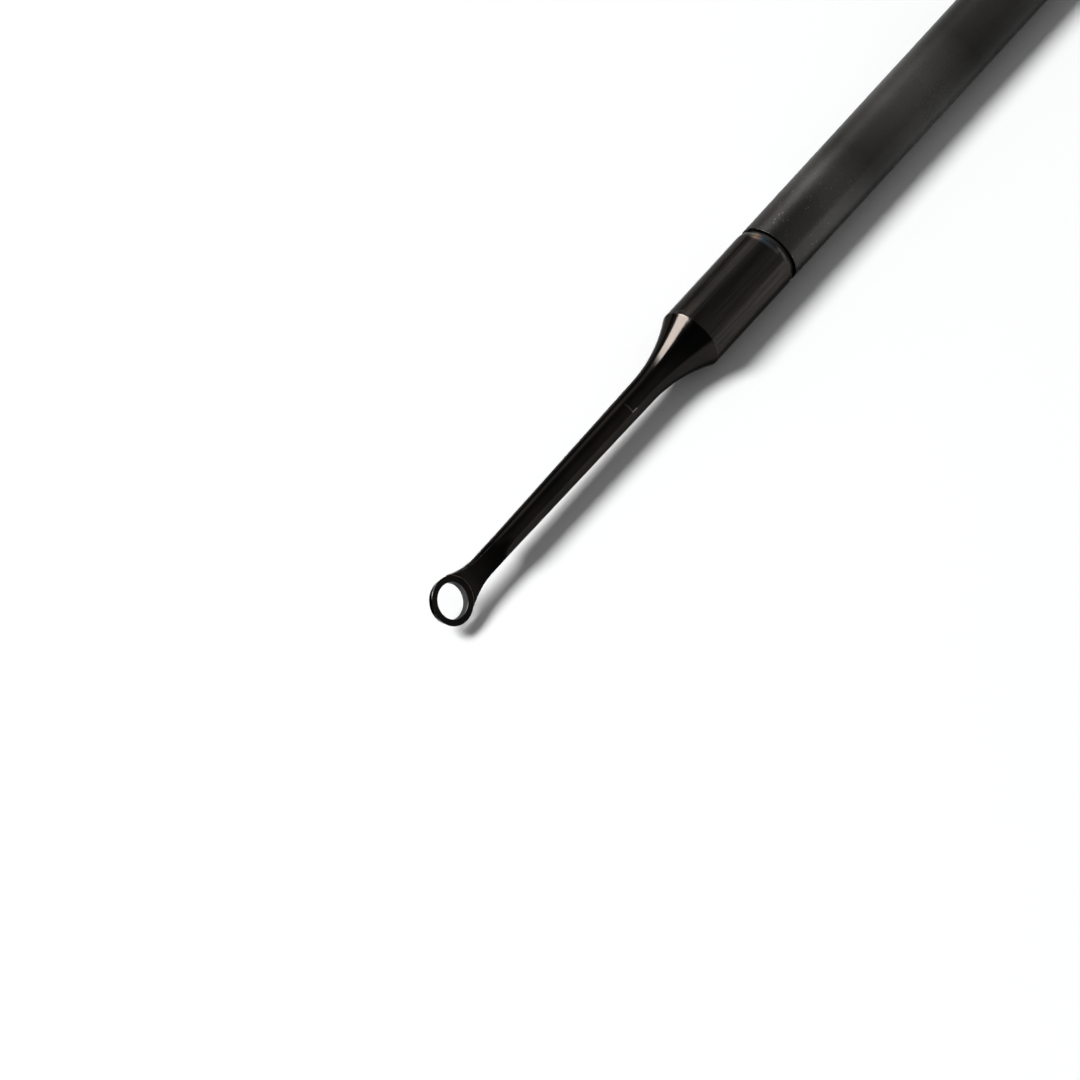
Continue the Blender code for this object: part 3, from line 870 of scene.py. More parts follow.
# %% A new material with its shader and position
def new_finish(name, metallic=0.0, **constants):
    """A material, its tree, its Principled shader and the position from the tool's axis."""
    finish = bpy.data.materials.new(name)
    finish.use_nodes = True
    tree = finish.node_tree
    shader = tree.nodes["Principled BSDF"]
    shader.inputs["Metallic"].default_value = metallic
    for label, value in constants.items():
        shader.inputs[label.replace("_", " ")].default_value = value
    inputs = {"Vector": tree.nodes.new("ShaderNodeTexCoord").outputs["Object"]}
    inputs["Location"] = (0, 0, -AXIS_HEIGHT)
    return finish, tree, shader, add(tree, "ShaderNodeMapping", inputs).outputs[0]


def feed(tree, shader, **sockets):
    """Links sockets to the shader's inputs. The names have _ where labels have a space."""
    for label, socket in sockets.items():
        tree.links.new(socket, shader.inputs[label.replace("_", " ")])


def bumped(tree, shader, height, distance):
    bump = add(tree, "ShaderNodeBump", {"Height": height, "Distance": distance})
    feed(tree, shader, Normal=bump.outputs["Normal"])


def edge_attribute(tree):
    return add(tree, "ShaderNodeAttribute", attribute_name="edge_wear").outputs["Fac"]


print("finish helpers ready")


# %% Colours that are mixed or follow a value
def opaque(colour):
    return (*colour, 1.0) if isinstance(colour, tuple) else colour


def mixed(tree, share, first, second):
    """A colour between two colours, each a tuple or a socket."""
    inputs = {0: share, 6: opaque(first), 7: opaque(second)}
    return add(tree, "ShaderNodeMix", inputs, data_type="RGBA").outputs[2]


def ramp(tree, value, stops):
    """A colour that follows a value from 0 to 1. A stop is (place, level) or (place, (r, g, b))."""
    node = add(tree, "ShaderNodeValToRGB", {0: value})
    elements = node.color_ramp.elements
    while len(elements) < len(stops):
        elements.new(0.5)
    for element, (place, _) in zip(elements, stops):
        element.position = place
    for element, (_, colour) in zip(elements, stops):
        element.color = opaque(colour if isinstance(colour, tuple) else (colour,) * 3)
    return node.outputs["Color"]


print("colour helpers ready")

# %% [markdown]
# ## Satin handle coat
#
# The handle is blasted and coated, so its black is a soft dark grey with a broad dull shine. Its
# tone and its shine rise and fall slowly along the tube, both by a row of stops from the front end
# to the rear. The tone stops follow how bright each stretch of the handle looks. So they hold
# painted light and shade, darker where the light along the handle fades, as well as the coat's
# own uneven grey. One flat colour would look like plastic. A fine grain breaks up the shine, faint
# lathe rings cross it, and the rims and a few specks are rubbed to a warmer tone.

# %% Stops and colours of the satin coat
# Tone stops along the tube: the coat's uneven grey together with painted light and shade.
COAT_TONE_AND_PAINTED_SHADE = [
    (0.00, 0.0460), (0.04, 0.0540), (0.09, 0.0660), (0.13, 0.0550), (0.17, 0.0317), (0.21, 0.0378),
    (0.26, 0.0537), (0.31, 0.0572), (0.35, 0.0414), (0.39, 0.0238), (0.46, 0.0299), (0.58, 0.0440),
    (0.74, 0.0370), (0.88, 0.0422), (1.00, 0.0440),
]
COAT_SHINE = [
    (0.00, 1.0), (0.07, 0.95), (0.13, 0.62), (0.20, 0.36), (0.30, 0.26), (0.38, 0.10),
    (0.50, 0.30), (0.80, 0.60), (1.00, 1.0),
]
COAT_WARMTH = (1.0, 0.965, 0.93)
SPECK_COLOUR = (0.26, 0.20, 0.175)
RUBBED_RIM_COLOUR = (0.20, 0.18, 0.16)
print("satin coat stops", len(COAT_TONE_AND_PAINTED_SHADE), len(COAT_SHINE))

# %% Satin black coating
satin_coat, tree, shader, spot = new_finish(
    "satin_handle_coat", Specular_Tint=(0.55, 0.55, 0.55, 1.0), Specular_IOR_Level=0.05)
share_along = remap(tree, split(tree, spot)["X"], HANDLE_FRONT_X, HANDLE_REAR_X)
shine = ramp(tree, share_along, COAT_SHINE)
drift = effect(tree, coat_drift, spot, Patches_per_metre=160.0)
wear = effect(tree, rub_wear, spot, Edge=edge_attribute(tree), Amount=0.3)
specks = effect(tree, fine_specks, spot, Specks_per_metre=2600.0, Share=0.24)
rings_height = effect(tree, lathe_rings, spot, Rings_per_metre=7000.0)
grain = noise(tree, spot, scale=9000.0, detail=2.0)

mottle = times_plus(tree, drift, 0.12, times_plus(tree, grain, 0.60, 0.64))
# Painted light and shade along the tube from the tone stops, times the grain and the drift.
base = scaled(tree, ramp(tree, share_along, COAT_TONE_AND_PAINTED_SHADE), mottle)
base = vector_node(tree, "MULTIPLY", base, COAT_WARMTH)[0]
specks = times(tree, specks, times_plus(tree, shine, 0.9, -0.4))
base = mixed(tree, math_node(tree, "MAXIMUM", specks, 0.0), base, SPECK_COLOUR)
base = mixed(tree, wear, base, RUBBED_RIM_COLOUR)
roughness = times_plus(tree, drift, 0.03, times_plus(tree, grain, 0.10, 0.23))
feed(tree, shader, Base_Color=base, Metallic=shine, Roughness=roughness)
bumped(tree, shader, times_plus(tree, rings_height, 0.5, grain), 0.003 * MM)
print("satin coat nodes", len(tree.nodes))

# %% [markdown]
# ## Gloss tip coat
#
# The tips have a thin, very dark and hard coat over polished steel. It mirrors a lamp as a warm
# pinkish white and nearly everything else as black, so it is a metal with a very dark colour.
# Each stretch of a tip adds something of its own: a painted glint in beige, orange and blue on the
# upper side of the bevel at the seam, streaks from handling on the barrel, scratches, a darker
# stretch on the flat, worn creases, and a hole that was ground. They could be separate materials,
# but the stretches run into each other. So one recipe holds them all, and it is made twice,
# because the ring is darker at a slant.

# %% Places along a tip, from the handle's middle
BARREL_START = REAR_SHOULDER_X - HANDLE_MIDDLE_X
BARREL_END = BARREL_START + BARREL_LENGTH
RING_MIDDLE = BARREL_START + RING_CENTRE_X
FLAT_REACH = 10.0 * MM
FLAT_TONES = [
    (0.00, 1.0), (0.24, 0.85), (0.29, 1.30), (0.35, 1.05), (0.41, 0.75), (0.47, 0.68),
    (0.53, 0.60), (0.59, 0.50), (0.65, 0.42), (0.71, 0.35), (0.77, 0.48), (0.84, 1.0), (1.00, 1.0),
]


def flat_tone(tree, from_middle):
    """How bright the coat is over the last stretch before the ring."""
    to_ring = math_node(tree, "SUBTRACT", RING_MIDDLE, from_middle)
    return ramp(tree, math_node(tree, "DIVIDE", to_ring, FLAT_REACH), FLAT_TONES)


print("ring from the handle's middle mm", round(RING_MIDDLE / MM, 2))

# %% Painted glint round the bevel at the seam
# The glint is painted. Its colours follow the angle round the axis, so the bright beige, orange and
# blue stay on the upper side, where the light glints on the bevel, and fade onto the barrel.
PAINTED_GLINT_ANGLE = math.radians(60.0)
PAINTED_GLINT_FADE_LENGTH = 1.9 * BEVEL_LENGTH
PAINTED_GLINT_COLOURS = [
    (0.00, (0.036, 0.034, 0.033)), (0.18, (0.036, 0.034, 0.033)), (0.235, (0.120, 0.112, 0.105)),
    (0.30, (0.085, 0.083, 0.082)), (0.35, (0.120, 0.127, 0.139)), (0.41, (0.150, 0.190, 0.220)),
    (0.47, (0.120, 0.195, 0.240)), (0.52, (0.100, 0.125, 0.170)), (0.56, (0.180, 0.120, 0.110)),
    (0.594, (0.240, 0.150, 0.100)), (0.63, (0.340, 0.260, 0.205)), (0.67, (0.320, 0.280, 0.235)),
    (0.72, (0.140, 0.135, 0.130)), (0.77, (0.050, 0.048, 0.046)), (1.00, (0.040, 0.038, 0.037)),
]


# Paints the glint over the base colour on the bevel and the start of each barrel.
def with_painted_glint(tree, base, from_middle, y, z):
    around = remap(tree, math_node(tree, "ARCTAN2", y, z), -PAINTED_GLINT_ANGLE, PAINTED_GLINT_ANGLE)
    start, end = BARREL_START + BEVEL_LENGTH, BARREL_START + PAINTED_GLINT_FADE_LENGTH
    fading = remap(tree, from_middle, start, end, 1.0, 0.0)
    past_spigot = math_node(tree, "GREATER_THAN", from_middle, BARREL_START - SEAT_GAP)
    return mixed(tree, times(tree, fading, past_spigot), base, ramp(tree, around, PAINTED_GLINT_COLOURS))


print("painted glint colours", len(PAINTED_GLINT_COLOURS))

# %% Scratches and a nick, as starts and runs in millimetres
SCRATCHES = [
    ((-58.1, -0.14), (0.0, -1.02)), ((-58.1, -1.16), (0.70, -0.02)),
    ((-46.25, 1.95), (0.35, -0.45)), ((-45.9, 1.50), (0.05, -0.30)),
]
SCRATCH_COLOUR = (0.17, 0.17, 0.17)


def scratched(tree, base, spot):
    for (x, y), (run_x, run_y) in SCRATCHES:
        start, run = (x * MM, y * MM, 0), (run_x * MM, run_y * MM, 0)
        scratch = effect(tree, fine_scratch, spot, Start=start, Run=run)
        base = mixed(tree, scratch, base, SCRATCH_COLOUR)
    return base


print("scratches", len(SCRATCHES))

# %% Worn edges, brown along a tip and grey near the ring
RUBBED_TIP = 0.35
WORN_TIP_COLOUR = (0.10, 0.090, 0.080)
WORN_RING_COLOUR = (0.34, 0.33, 0.32)


def edges_worn(tree, base, spot, edge, near_ring, rubbed):
    amount = times_plus(tree, near_ring, rubbed - RUBBED_TIP, RUBBED_TIP)
    edge = math_node(tree, "MINIMUM", edge, 1.0)
    wear = effect(tree, rub_wear, spot, Edge=edge, Amount=amount)
    return mixed(tree, wear, base, mixed(tree, near_ring, WORN_TIP_COLOUR, WORN_RING_COLOUR))


print("share rubbed off along a tip", RUBBED_TIP)

# %% Gloss black coating
BARREL_DARK, BARREL_LIGHT = (0.021, 0.0205, 0.020), (0.046, 0.040, 0.036)
GROUND_COLOUR = (0.078, 0.076, 0.076)
GROUND_MARKS = (1.2, 1.8)


def black_gloss(name, edge_tint, dark, light, rubbed):
    """The tips' coat. edge_tint sets how dark it stays where it is seen at a slant."""
    tint = (edge_tint, edge_tint, edge_tint, 1.0)
    finish, tree, shader, spot = new_finish(name, metallic=1.0, Specular_Tint=tint)
    x, y, z = split(tree, spot)[:3]
    from_middle = math_node(tree, "ABSOLUTE", math_node(tree, "SUBTRACT", x, HANDLE_MIDDLE_X))
    barrel = math_node(tree, "LESS_THAN", from_middle, BARREL_END)
    near_ring = math_node(tree, "GREATER_THAN", from_middle, RING_MIDDLE - FLAT_REACH)
    drift = effect(tree, coat_drift, spot, Patches_per_metre=300.0)
    marks = effect(tree, long_marks, spot, Fineness=5000.0, Stretch=0.02)
    rings_height = effect(tree, lathe_rings, spot, Rings_per_metre=14000.0)
    edge = edge_attribute(tree)
    ground = remap(tree, edge, *GROUND_MARKS)

    tone = flat_tone(tree, from_middle)
    base = vector_node(tree, "MULTIPLY", mixed(tree, drift, dark, light), tone)[0]
    streaked = mixed(tree, remap(tree, marks, 0.35, 0.65), BARREL_DARK, BARREL_LIGHT)
    # Painted glint on the bevel at the seam.
    base = with_painted_glint(tree, mixed(tree, barrel, base, streaked), from_middle, y, z)
    base = scratched(tree, base, spot)
    base = edges_worn(tree, base, spot, edge, near_ring, rubbed)
    base = mixed(tree, ground, base, GROUND_COLOUR)
    roughness = times_plus(tree, marks, 0.06, 0.08)
    for dull, added in ((barrel, 0.08), (ground, 0.20), (drift, 0.03)):
        roughness = times_plus(tree, dull, added, roughness)
    feed(tree, shader, Base_Color=base, Roughness=roughness)
    bumped(tree, shader, math_node(tree, "ADD", rings_height, marks), 0.0004 * MM)
    return finish


gloss_coat = black_gloss(
    "gloss_tip_coat", edge_tint=0.52, dark=(0.0145, 0.0135, 0.0130),
    light=(0.0200, 0.0170, 0.0150), rubbed=0.80)
ring_coat = black_gloss(
    "gloss_ring_coat", edge_tint=0.36, dark=(0.0110, 0.0110, 0.0115),
    light=(0.0200, 0.0170, 0.0145), rubbed=0.40)
print("gloss finishes", gloss_coat.name, ring_coat.name)

# %% [markdown]
# ## The smaller finishes
#
# Braze is a dull bronze. The seal is black rubber with a fine grain. Turned steel shows clear
# lathe rings, and the needle is ground along its length and then polished. Each of them is two
# close colours, with marks that dull the surface a little and stand up from it, so one function
# does for all. The cap is clear plastic. Glass that is traced in full throws a dark shadow, so
# the cap lets shadow rays through, and lamps shine through it on to the floor.

# %% Braze, rubber and steel
def two_toned(tree, shader, share, colours, marks, dulling, relief=None):
    """dulling holds what the marks add to the roughness, and the roughness without them."""
    feed(
        tree, shader, Base_Color=mixed(tree, share, *colours),
        Roughness=times_plus(tree, marks, *dulling))
    if relief:
        bumped(tree, shader, marks, relief)


braze_finish, tree, shader, spot = new_finish("dull_braze", metallic=1.0)
drift = effect(tree, coat_drift, spot, Patches_per_metre=2500.0)
two_toned(tree, shader, drift, ((0.060, 0.045, 0.030), (0.13, 0.10, 0.07)), drift, (0.2, 0.35))

rubber_finish, tree, shader, spot = new_finish("seal_rubber", Specular_IOR_Level=0.01)
grain = noise(tree, spot, scale=12000.0, detail=3.0)
rubber_greys = (0.018, 0.018, 0.018), (0.034, 0.034, 0.034)
two_toned(tree, shader, grain, rubber_greys, grain, (0.2, 0.6), relief=0.004 * MM)

steel_finish, tree, shader, spot = new_finish("turned_steel", metallic=1.0)
drift = effect(tree, coat_drift, spot)
rings_height = effect(tree, lathe_rings, spot, Rings_per_metre=11000.0)
steel_greys = (0.50, 0.50, 0.51), (0.62, 0.61, 0.60)
two_toned(tree, shader, drift, steel_greys, rings_height, (0.2, 0.18), relief=0.003 * MM)

needle_finish, tree, shader, spot = new_finish("ground_steel", metallic=1.0)
marks = effect(tree, long_marks, spot, Fineness=12000.0, Stretch=0.04)
needle_greys = (0.62, 0.62, 0.63), (0.78, 0.78, 0.78)
two_toned(tree, shader, marks, needle_greys, marks, (0.16, 0.08), relief=0.001 * MM)
print("small finishes", braze_finish.name, rubber_finish.name, steel_finish.name, needle_finish.name)

# %% Clear cap
CAP_SHADOW = (0.86, 0.88, 0.89, 1.0)

cap_finish, tree, shader, spot = new_finish("clear_cap_plastic", Transmission_Weight=1.0, IOR=1.49)
drift = effect(tree, coat_drift, spot, Patches_per_metre=300.0)
scuffs = effect(tree, long_marks, spot, Fineness=4000.0, Stretch=0.2)
cap_tones = (0.90, 0.93, 0.94), (0.96, 0.97, 0.97)
two_toned(tree, shader, drift, cap_tones, scuffs, (0.12, 0.02), relief=0.0008 * MM)
shadow_ray = tree.nodes.new("ShaderNodeLightPath").outputs["Is Shadow Ray"]
let_through = add(tree, "ShaderNodeBsdfTransparent", {"Color": CAP_SHADOW}).outputs[0]
passing = add(tree, "ShaderNodeMixShader", {0: shadow_ray, 1: shader.outputs[0], 2: let_through})
feed(tree, tree.nodes["Material Output"], Surface=passing.outputs[0])
print("cap finish", cap_finish.name)

# %% [markdown]
# ## Screw threads
#
# A thread is one small profile that climbs round a core by a fixed pitch. Modelled point by
# point it is tedious, and a Screw modifier leaves it open at both ends. Geometry Nodes suit it
# well: a spiral curve, a trapezoid swept along it, and a scale that fades the ridge in and out.
# The tree's inputs are named, so another thread takes only other numbers. The result is turned
# into a plain mesh, because the finished part keeps no modifier.

# %% Geometry Nodes tree for a thread, and its inputs
THREAD_PITCH = 0.70 * MM
THREAD_TURNS = 8.0
THREAD_SETTINGS = {
    "Pitch": THREAD_PITCH,
    "Turns": THREAD_TURNS,
    "Root radius": THREAD_ROOT_RADIUS,
    "Depth": THREAD_DEPTH,
    "Root width": 0.60 * MM,
    "Crest width": 0.10 * MM,
    "Start": -SPIGOT_LENGTH + 0.45 * MM,
    "Finish": "NodeSocketMaterial",
}
thread_tree, got, put = new_group(
    "screw_thread", THREAD_SETTINGS, "Geometry", kind="GeometryNodeTree", gives="NodeSocketGeometry")
print("thread inputs", list(THREAD_SETTINGS))

# %% The spiral and the ridge's profile
SPIRAL_STEPS = 64
DEPTH_SUNK = -0.45

spiral = add(thread_tree, "GeometryNodeCurveSpiral", {
    "Resolution": SPIRAL_STEPS, "Rotations": got["Turns"], "Start Radius": got["Root radius"],
    "End Radius": got["Root radius"], "Height": times(thread_tree, got["Pitch"], got["Turns"])})
upright = add(thread_tree, "GeometryNodeSetCurveNormal", {"Curve": spiral.outputs[0]}, mode="Z_UP")
profile = add(thread_tree, "GeometryNodeCurvePrimitiveQuadrilateral", {
    "Height": got["Depth"], "Bottom Width": got["Root width"], "Top Width": got["Crest width"],
    "Offset": 0.0}, mode="TRAPEZOID")
outward = add(thread_tree, "ShaderNodeCombineXYZ", {"X": times(thread_tree, got["Depth"], DEPTH_SUNK)})
laid = add(thread_tree, "GeometryNodeTransform", {
    "Geometry": profile.outputs[0], "Translation": outward.outputs[0],
    "Rotation": (0, 0, math.pi / 2)})
print("thread nodes so far", len(thread_tree.nodes))

# %% The ridge, faded at its ends and laid along X
FADE_TURNS = 0.6
FADED_SCALE = 0.05

factor = thread_tree.nodes.new("GeometryNodeSplineParameter").outputs["Factor"]
to_end = times(thread_tree, math_node(thread_tree, "SUBTRACT", 1.0, factor), got["Turns"])
from_end = math_node(thread_tree, "MINIMUM", times(thread_tree, factor, got["Turns"]), to_end)
ridge = add(thread_tree, "GeometryNodeCurveToMesh", {
    "Curve": upright.outputs[0], "Profile Curve": laid.outputs[0], "Fill Caps": True,
    "Scale": remap(thread_tree, from_end, 0.0, FADE_TURNS, FADED_SCALE)})
start = add(thread_tree, "ShaderNodeCombineXYZ", {"X": got["Start"]})
lying = add(thread_tree, "GeometryNodeTransform", {
    "Geometry": ridge.outputs[0], "Translation": start.outputs[0],
    "Rotation": (0, math.pi / 2, 0)})
realised = add(thread_tree, "GeometryNodeRealizeInstances", {"Geometry": lying.outputs[0]})
finished = add(thread_tree, "GeometryNodeSetMaterial", {
    "Geometry": realised.outputs[0], "Material": got["Finish"]})
thread_tree.links.new(finished.outputs[0], put)
print("thread tree nodes", len(thread_tree.nodes))

# %% Threads on both spigots
SAME_POINT = 0.0005 * MM


def plain_from_tree(name, tree, place, settings):
    """Runs a Geometry Nodes tree on an empty mesh and keeps the result as a plain mesh."""
    empty = bpy.data.meshes.new(name + "_carrier")
    carrier = linked(name + "_carrier", empty)
    modifier = carrier.modifiers.new("tree", "NODES")
    modifier.node_group = tree
    for item in tree.interface.items_tree:
        if item.in_out == "INPUT" and item.name in settings:
            modifier[item.identifier] = settings[item.name]
    bpy.context.view_layer.update()
    shape = carrier.evaluated_get(bpy.context.evaluated_depsgraph_get())
    mesh = bpy.data.meshes.new_from_object(shape)
    mesh.name = name
    bpy.data.objects.remove(carrier)
    bpy.data.meshes.remove(empty)
    bm = bmesh.new()
    bm.from_mesh(mesh)
    bmesh.ops.remove_doubles(bm, verts=bm.verts, dist=SAME_POINT)
    bmesh.ops.recalc_face_normals(bm, faces=bm.faces)
    bm.transform(place)
    bm.to_mesh(mesh)
    bm.free()
    return linked(name, mesh)


front_thread = plain_from_tree("front_thread", thread_tree, front_place, {"Finish": gloss_coat})
rear_thread = plain_from_tree("rear_thread", thread_tree, rear_place, {"Finish": gloss_coat})
for corner in (front_thread.bound_box[0], front_thread.bound_box[6]):
    print("thread's corner mm", [round(v / MM, 2) for v in corner])

# %% [markdown]
# ## Dressing the pieces
#
# Each piece now gets its finish and the body that it moves with, and the CAD node that it stands
# for is hidden. The table also names each piece's material slot in the record. The braze and the
# threads stand for no node, because the CAD model has none for them. It could be done where each
# piece is made, but one table shows at a glance that nothing is left out. Faces that meet at a
# wide angle keep a sharp shade.

# %% Finish, body and slot of each piece
SHARP_ANGLE = math.radians(38)
DRESSING = [
    (handle_skin, satin_coat, "handle", "handle_tube", "satin_black_coating"),
    (front_socket_skin, steel_finish, "handle", "front_socket", "plain_steel"),
    (rear_socket_skin, steel_finish, "handle", "rear_socket", "plain_steel"),
    (front_seal_skin, rubber_finish, "front_seal", "front_seal_ring", "black_rubber"),
    (rear_seal_skin, rubber_finish, "rear_seal", "rear_seal_ring", "black_rubber"),
    (front_tip_skin, gloss_coat, "front_tip", "front_tip_body", "gloss_black_coating"),
    (ring_skin, ring_coat, "front_tip", "cutting_ring", "gloss_black_coating"),
    (braze_line, braze_finish, "front_tip", None, None),
    (front_thread, gloss_coat, "front_tip", None, "gloss_black_coating"),
    (rear_tip_skin, gloss_coat, "rear_tip", "rear_tip_body", "gloss_black_coating"),
    (rear_thread, gloss_coat, "rear_tip", None, "gloss_black_coating"),
    (needle_skin, needle_finish, "rear_tip", "needle", "bright_steel"),
    (cap_skin, cap_finish, "cap", "needle_cap", "clear_plastic"),
]
for piece, finish, body, node, slot in DRESSING:
    piece.data.materials.clear()
    piece.data.materials.append(finish)
    piece.data.shade_smooth()
    piece.data.set_sharp_from_angle(angle=SHARP_ANGLE)
    if node:
        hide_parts(node)
    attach(piece, body)
print("pieces dressed", len(DRESSING))

# %% [markdown]
# ## Camera
#
# The photograph was taken from high on the ring's side with a long lens, so lines that are
# parallel on the tool stay parallel. An orthographic camera would give the same, but a real lens
# that stands far back is nearer to how such a photo is taken. Its direction comes from the
# ring's ellipse and the foreshortened barrel, and the ring's middle is put where the photo has
# it.

# %% Camera at the photo's angle
FRAME_PIXELS = 1080
PIXELS_PER_MM = 9.75
RING_PIXEL = (450.3, 601.3)
CAMERA_ROLL = math.radians(-0.30)
CAMERA_AZIMUTH = math.radians(-53.75)
CAMERA_ELEVATION = math.radians(52.36)
CAMERA_DISTANCE = 4.0
SENSOR_MM = 36.0
NEAREST_SEEN, FARTHEST_SEEN = 0.1, 50.0


def standing(middle, x, y, z):
    """The matrix that puts a thing at a place, with its own axes along these directions."""
    return Matrix.Translation(middle) @ Matrix((x, y, z)).transposed().to_4x4()


right = Vector((math.cos(CAMERA_AZIMUTH), math.sin(CAMERA_AZIMUTH), 0))
back = Vector((
    math.sin(CAMERA_AZIMUTH) * math.cos(CAMERA_ELEVATION),
    -math.cos(CAMERA_AZIMUTH) * math.cos(CAMERA_ELEVATION),
    math.sin(CAMERA_ELEVATION),
))
up = back.cross(right)
right, up = (
    right * math.cos(CAMERA_ROLL) + up * math.sin(CAMERA_ROLL),
    up * math.cos(CAMERA_ROLL) - right * math.sin(CAMERA_ROLL),
)
middle = FRAME_PIXELS / 2
from_ring = right * (middle - RING_PIXEL[0]) - up * (middle - RING_PIXEL[1])
view_centre = ring_place.translation + from_ring / PIXELS_PER_MM * MM
camera_data = bpy.data.cameras.new("photo_camera")
camera_data.sensor_width = SENSOR_MM
camera_data.lens = SENSOR_MM * CAMERA_DISTANCE / (FRAME_PIXELS / PIXELS_PER_MM * MM)
camera_data.clip_start, camera_data.clip_end = NEAREST_SEEN, FARTHEST_SEEN
camera = linked("photo_camera", camera_data)
camera.matrix_world = standing(view_centre + back * CAMERA_DISTANCE, right, up, back)
bpy.context.scene.camera = camera
print("lens mm", round(camera_data.lens), "view centre mm", [round(v / MM, 2) for v in view_centre])

# %% [markdown]
# ## Floor and light
#
# A plain white table, a soft key lamp from high on the left and a weak even fill give the grey
# shadow on the right. The tool is nearly black, so what shows its shape is what it mirrors: a
# long strip lamp behind it draws the pale wedge on the flare, and a short dim tail ends it. The
# room adds a dim ceiling, a glow behind, a bright far end and a haze low over the table. A
# picture of a studio could stand in for the room, but soft steps between directions can be moved
# one by one. Strip, tail and room are seen only in reflections and add no light to the table.

# %% Floor
FLOOR_SIZE = 30.0
FLOOR_HEIGHT = AXIS_HEIGHT - BARREL_RADIUS

half = FLOOR_SIZE / 2
corners = [(-half, -half), (half, -half), (half, half), (-half, half)]
floor_mesh = bpy.data.meshes.new("floor")
floor_mesh.from_pydata([(x, y, FLOOR_HEIGHT) for x, y in corners], [], [(0, 1, 2, 3)])
floor = linked("floor", floor_mesh)
print("floor size m", FLOOR_SIZE)

# %% White of the table, a little darker for the light that bounces off it
BOUNCING_WHITE, SEEN_WHITE = (0.80, 0.80, 0.80), (0.97, 0.975, 0.975)

floor_paint = bpy.data.materials.new("white_table")
floor_paint.use_nodes = True
tree = floor_paint.node_tree
shader = tree.nodes["Principled BSDF"]
shader.inputs["Roughness"].default_value = 1.0
shader.inputs["Specular IOR Level"].default_value = 0.0
path = tree.nodes.new("ShaderNodeLightPath").outputs
seen = math_node(tree, "MAXIMUM", path["Is Camera Ray"], path["Is Glossy Ray"])
seen = math_node(tree, "MAXIMUM", seen, path["Is Transmission Ray"])
feed(tree, shader, Base_Color=mixed(tree, seen, BOUNCING_WHITE, SEEN_WHITE))
floor_mesh.materials.append(floor_paint)
print("table paint", floor_paint.name)


# %% A lamp of a given radiance
def area_lamp(name, middle, facing, along, size, radiance, shape="RECTANGLE"):
    """A lamp whose Z looks back along facing and whose Y runs along a direction."""
    z = Vector(facing).normalized()
    y = Vector(along)
    y = (y - z * y.dot(z)).normalized()
    data = bpy.data.lights.new(name, "AREA")
    data.shape = shape
    data.size, data.size_y = size
    area = size[0] * size[1] * (math.pi / 4 if shape == "DISK" else 1.0)
    data.energy = radiance * math.pi * area
    lamp = linked(name, data)
    lamp.matrix_world = standing(middle, y.cross(z), y, z)
    lamp.visible_camera = False
    print(name, "power W", round(data.energy, 2))
    return lamp


# %% Key lamp, which like the strip is aimed at a place on the flare
AIM_SHARE = 0.3
KEY_SHARE = 0.88
KEY_DIRECTION = Vector((-0.60, 0.545, 1.0)).normalized()
KEY_DISTANCE = 3.0
KEY_SIZE = 1.1

flare_middle = front_place @ Vector((FLARE_RIM_X + AIM_SHARE * FLARE_LENGTH, 0, 0))
key_area = math.pi * KEY_SIZE ** 2 / 4
key_radiance = KEY_SHARE * math.pi * KEY_DISTANCE ** 2 / (key_area * KEY_DIRECTION.z)
area_lamp(
    "key_lamp", flare_middle + KEY_DIRECTION * KEY_DISTANCE, KEY_DIRECTION, (0, 0, 1),
    (KEY_SIZE, KEY_SIZE), key_radiance, "DISK")
print("key radiance", round(key_radiance, 2))

# %% Strip lamp and its dim tail, as (name, start, end, radiance) along X
STRIP_ELEVATION = math.radians(43.5)
STRIP_DISTANCE = 2.0
STRIP_WIDTH = 1.30
STRIP_PARTS = [("strip_lamp", -0.90, 0.42, 33.0), ("strip_tail", 0.42, 0.55, 9.0)]

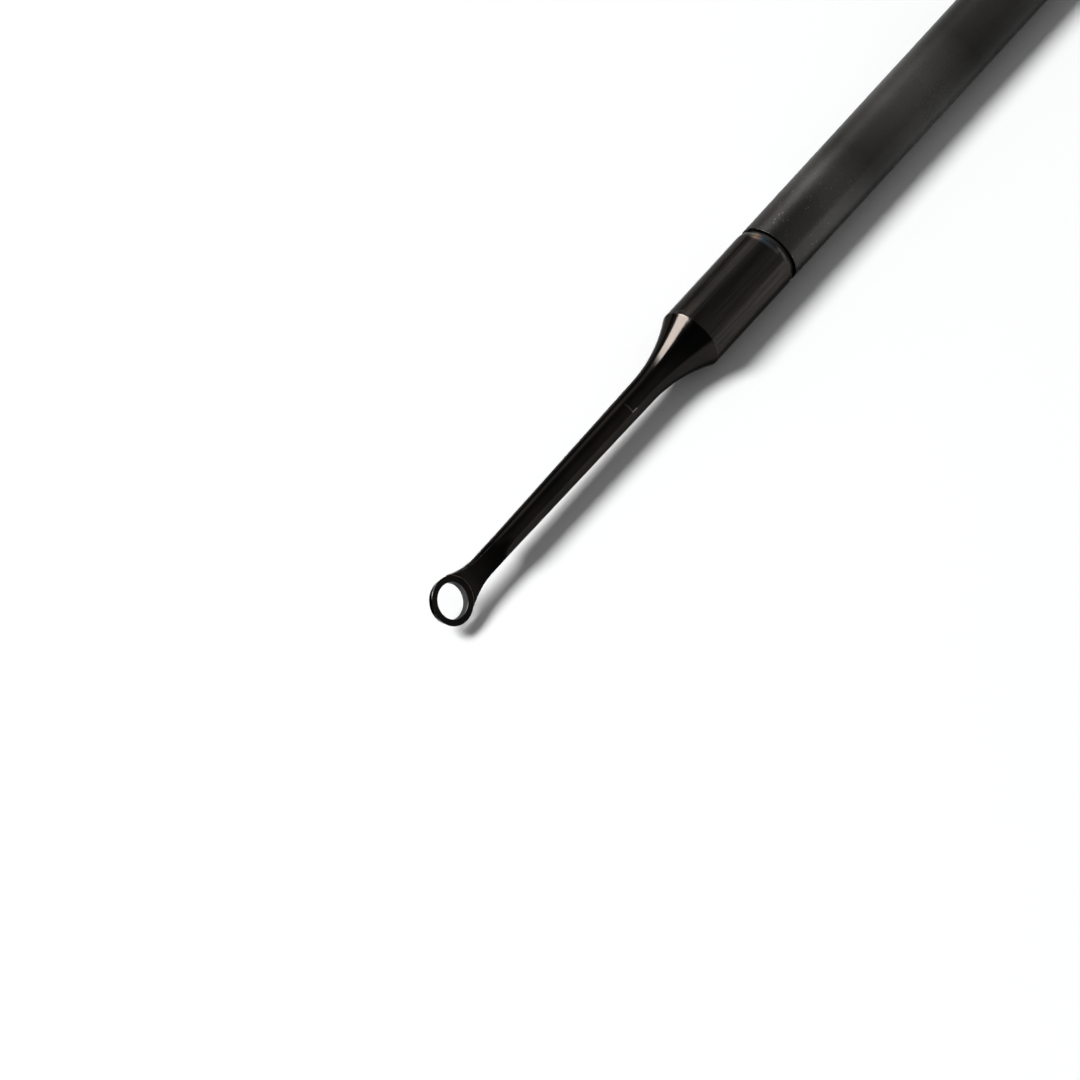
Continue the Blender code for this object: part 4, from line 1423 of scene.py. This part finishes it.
to_strip = Vector((0, math.cos(STRIP_ELEVATION), math.sin(STRIP_ELEVATION)))
for name, start, end, radiance in STRIP_PARTS:
    middle = flare_middle + to_strip * STRIP_DISTANCE + Vector(((start + end) / 2, 0, 0))
    lamp = area_lamp(name, middle, to_strip, (1, 0, 0), (STRIP_WIDTH, end - start), radiance)
    lamp.visible_diffuse = False
print("strip parts", len(STRIP_PARTS))

# %% Surroundings
FILL_LEVEL = 0.19
GLOW_LEVEL = 0.9

world = bpy.data.worlds.new("studio")
bpy.context.scene.world = world
world.use_nodes = True
tree = world.node_tree
tree.nodes.clear()
x, y, z = split(tree, tree.nodes.new("ShaderNodeTexCoord").outputs["Generated"])


def rise(value, low, high, at_low=0.0, at_high=1.0):
    """A smooth step from one level to another while a value goes from low to high."""
    return remap(tree, value, low, high, at_low, at_high, curve="SMOOTHSTEP")


def both(first, second):
    """Light where both steps are up."""
    return times(tree, first, second)


def added(first, second):
    return math_node(tree, "ADD", first, second)


to_the_right = both(rise(x, -0.20, 0.45, 0.25, 1.0), rise(x, 0.55, 0.85, 1.0, 0.3))
ceiling = both(rise(y, -0.60, 0.10, 0.40, 0.18), to_the_right)
behind = both(rise(x, 0.15, 0.35), rise(y, 0.30, 0.50))
glow = both(behind, both(rise(z, 0.36, 0.58), rise(z, 0.62, 0.84, GLOW_LEVEL, 0.0)))
far_end = both(rise(x, 0.72, 0.82, 0.0, 0.9), rise(z, 0.15, 0.40, 1.0, 0.0))
haze = both(rise(z, 0.0, 0.26, 0.95, 0.0), rise(y, 0.02, 0.16, 1.0, 0.0))
room = added(added(ceiling, glow), added(far_end, haze))
path = tree.nodes.new("ShaderNodeLightPath").outputs
inputs = {0: path["Is Diffuse Ray"], 2: room, 3: FILL_LEVEL}
level = add(tree, "ShaderNodeMix", inputs, data_type="FLOAT").outputs[0]
background = add(tree, "ShaderNodeBackground", {"Color": (1, 1, 1, 1), "Strength": level})
feed(tree, tree.nodes.new("ShaderNodeOutputWorld"), Surface=background.outputs[0])
bpy.context.scene.view_settings.view_transform = "Standard"
print("fill level", FILL_LEVEL)
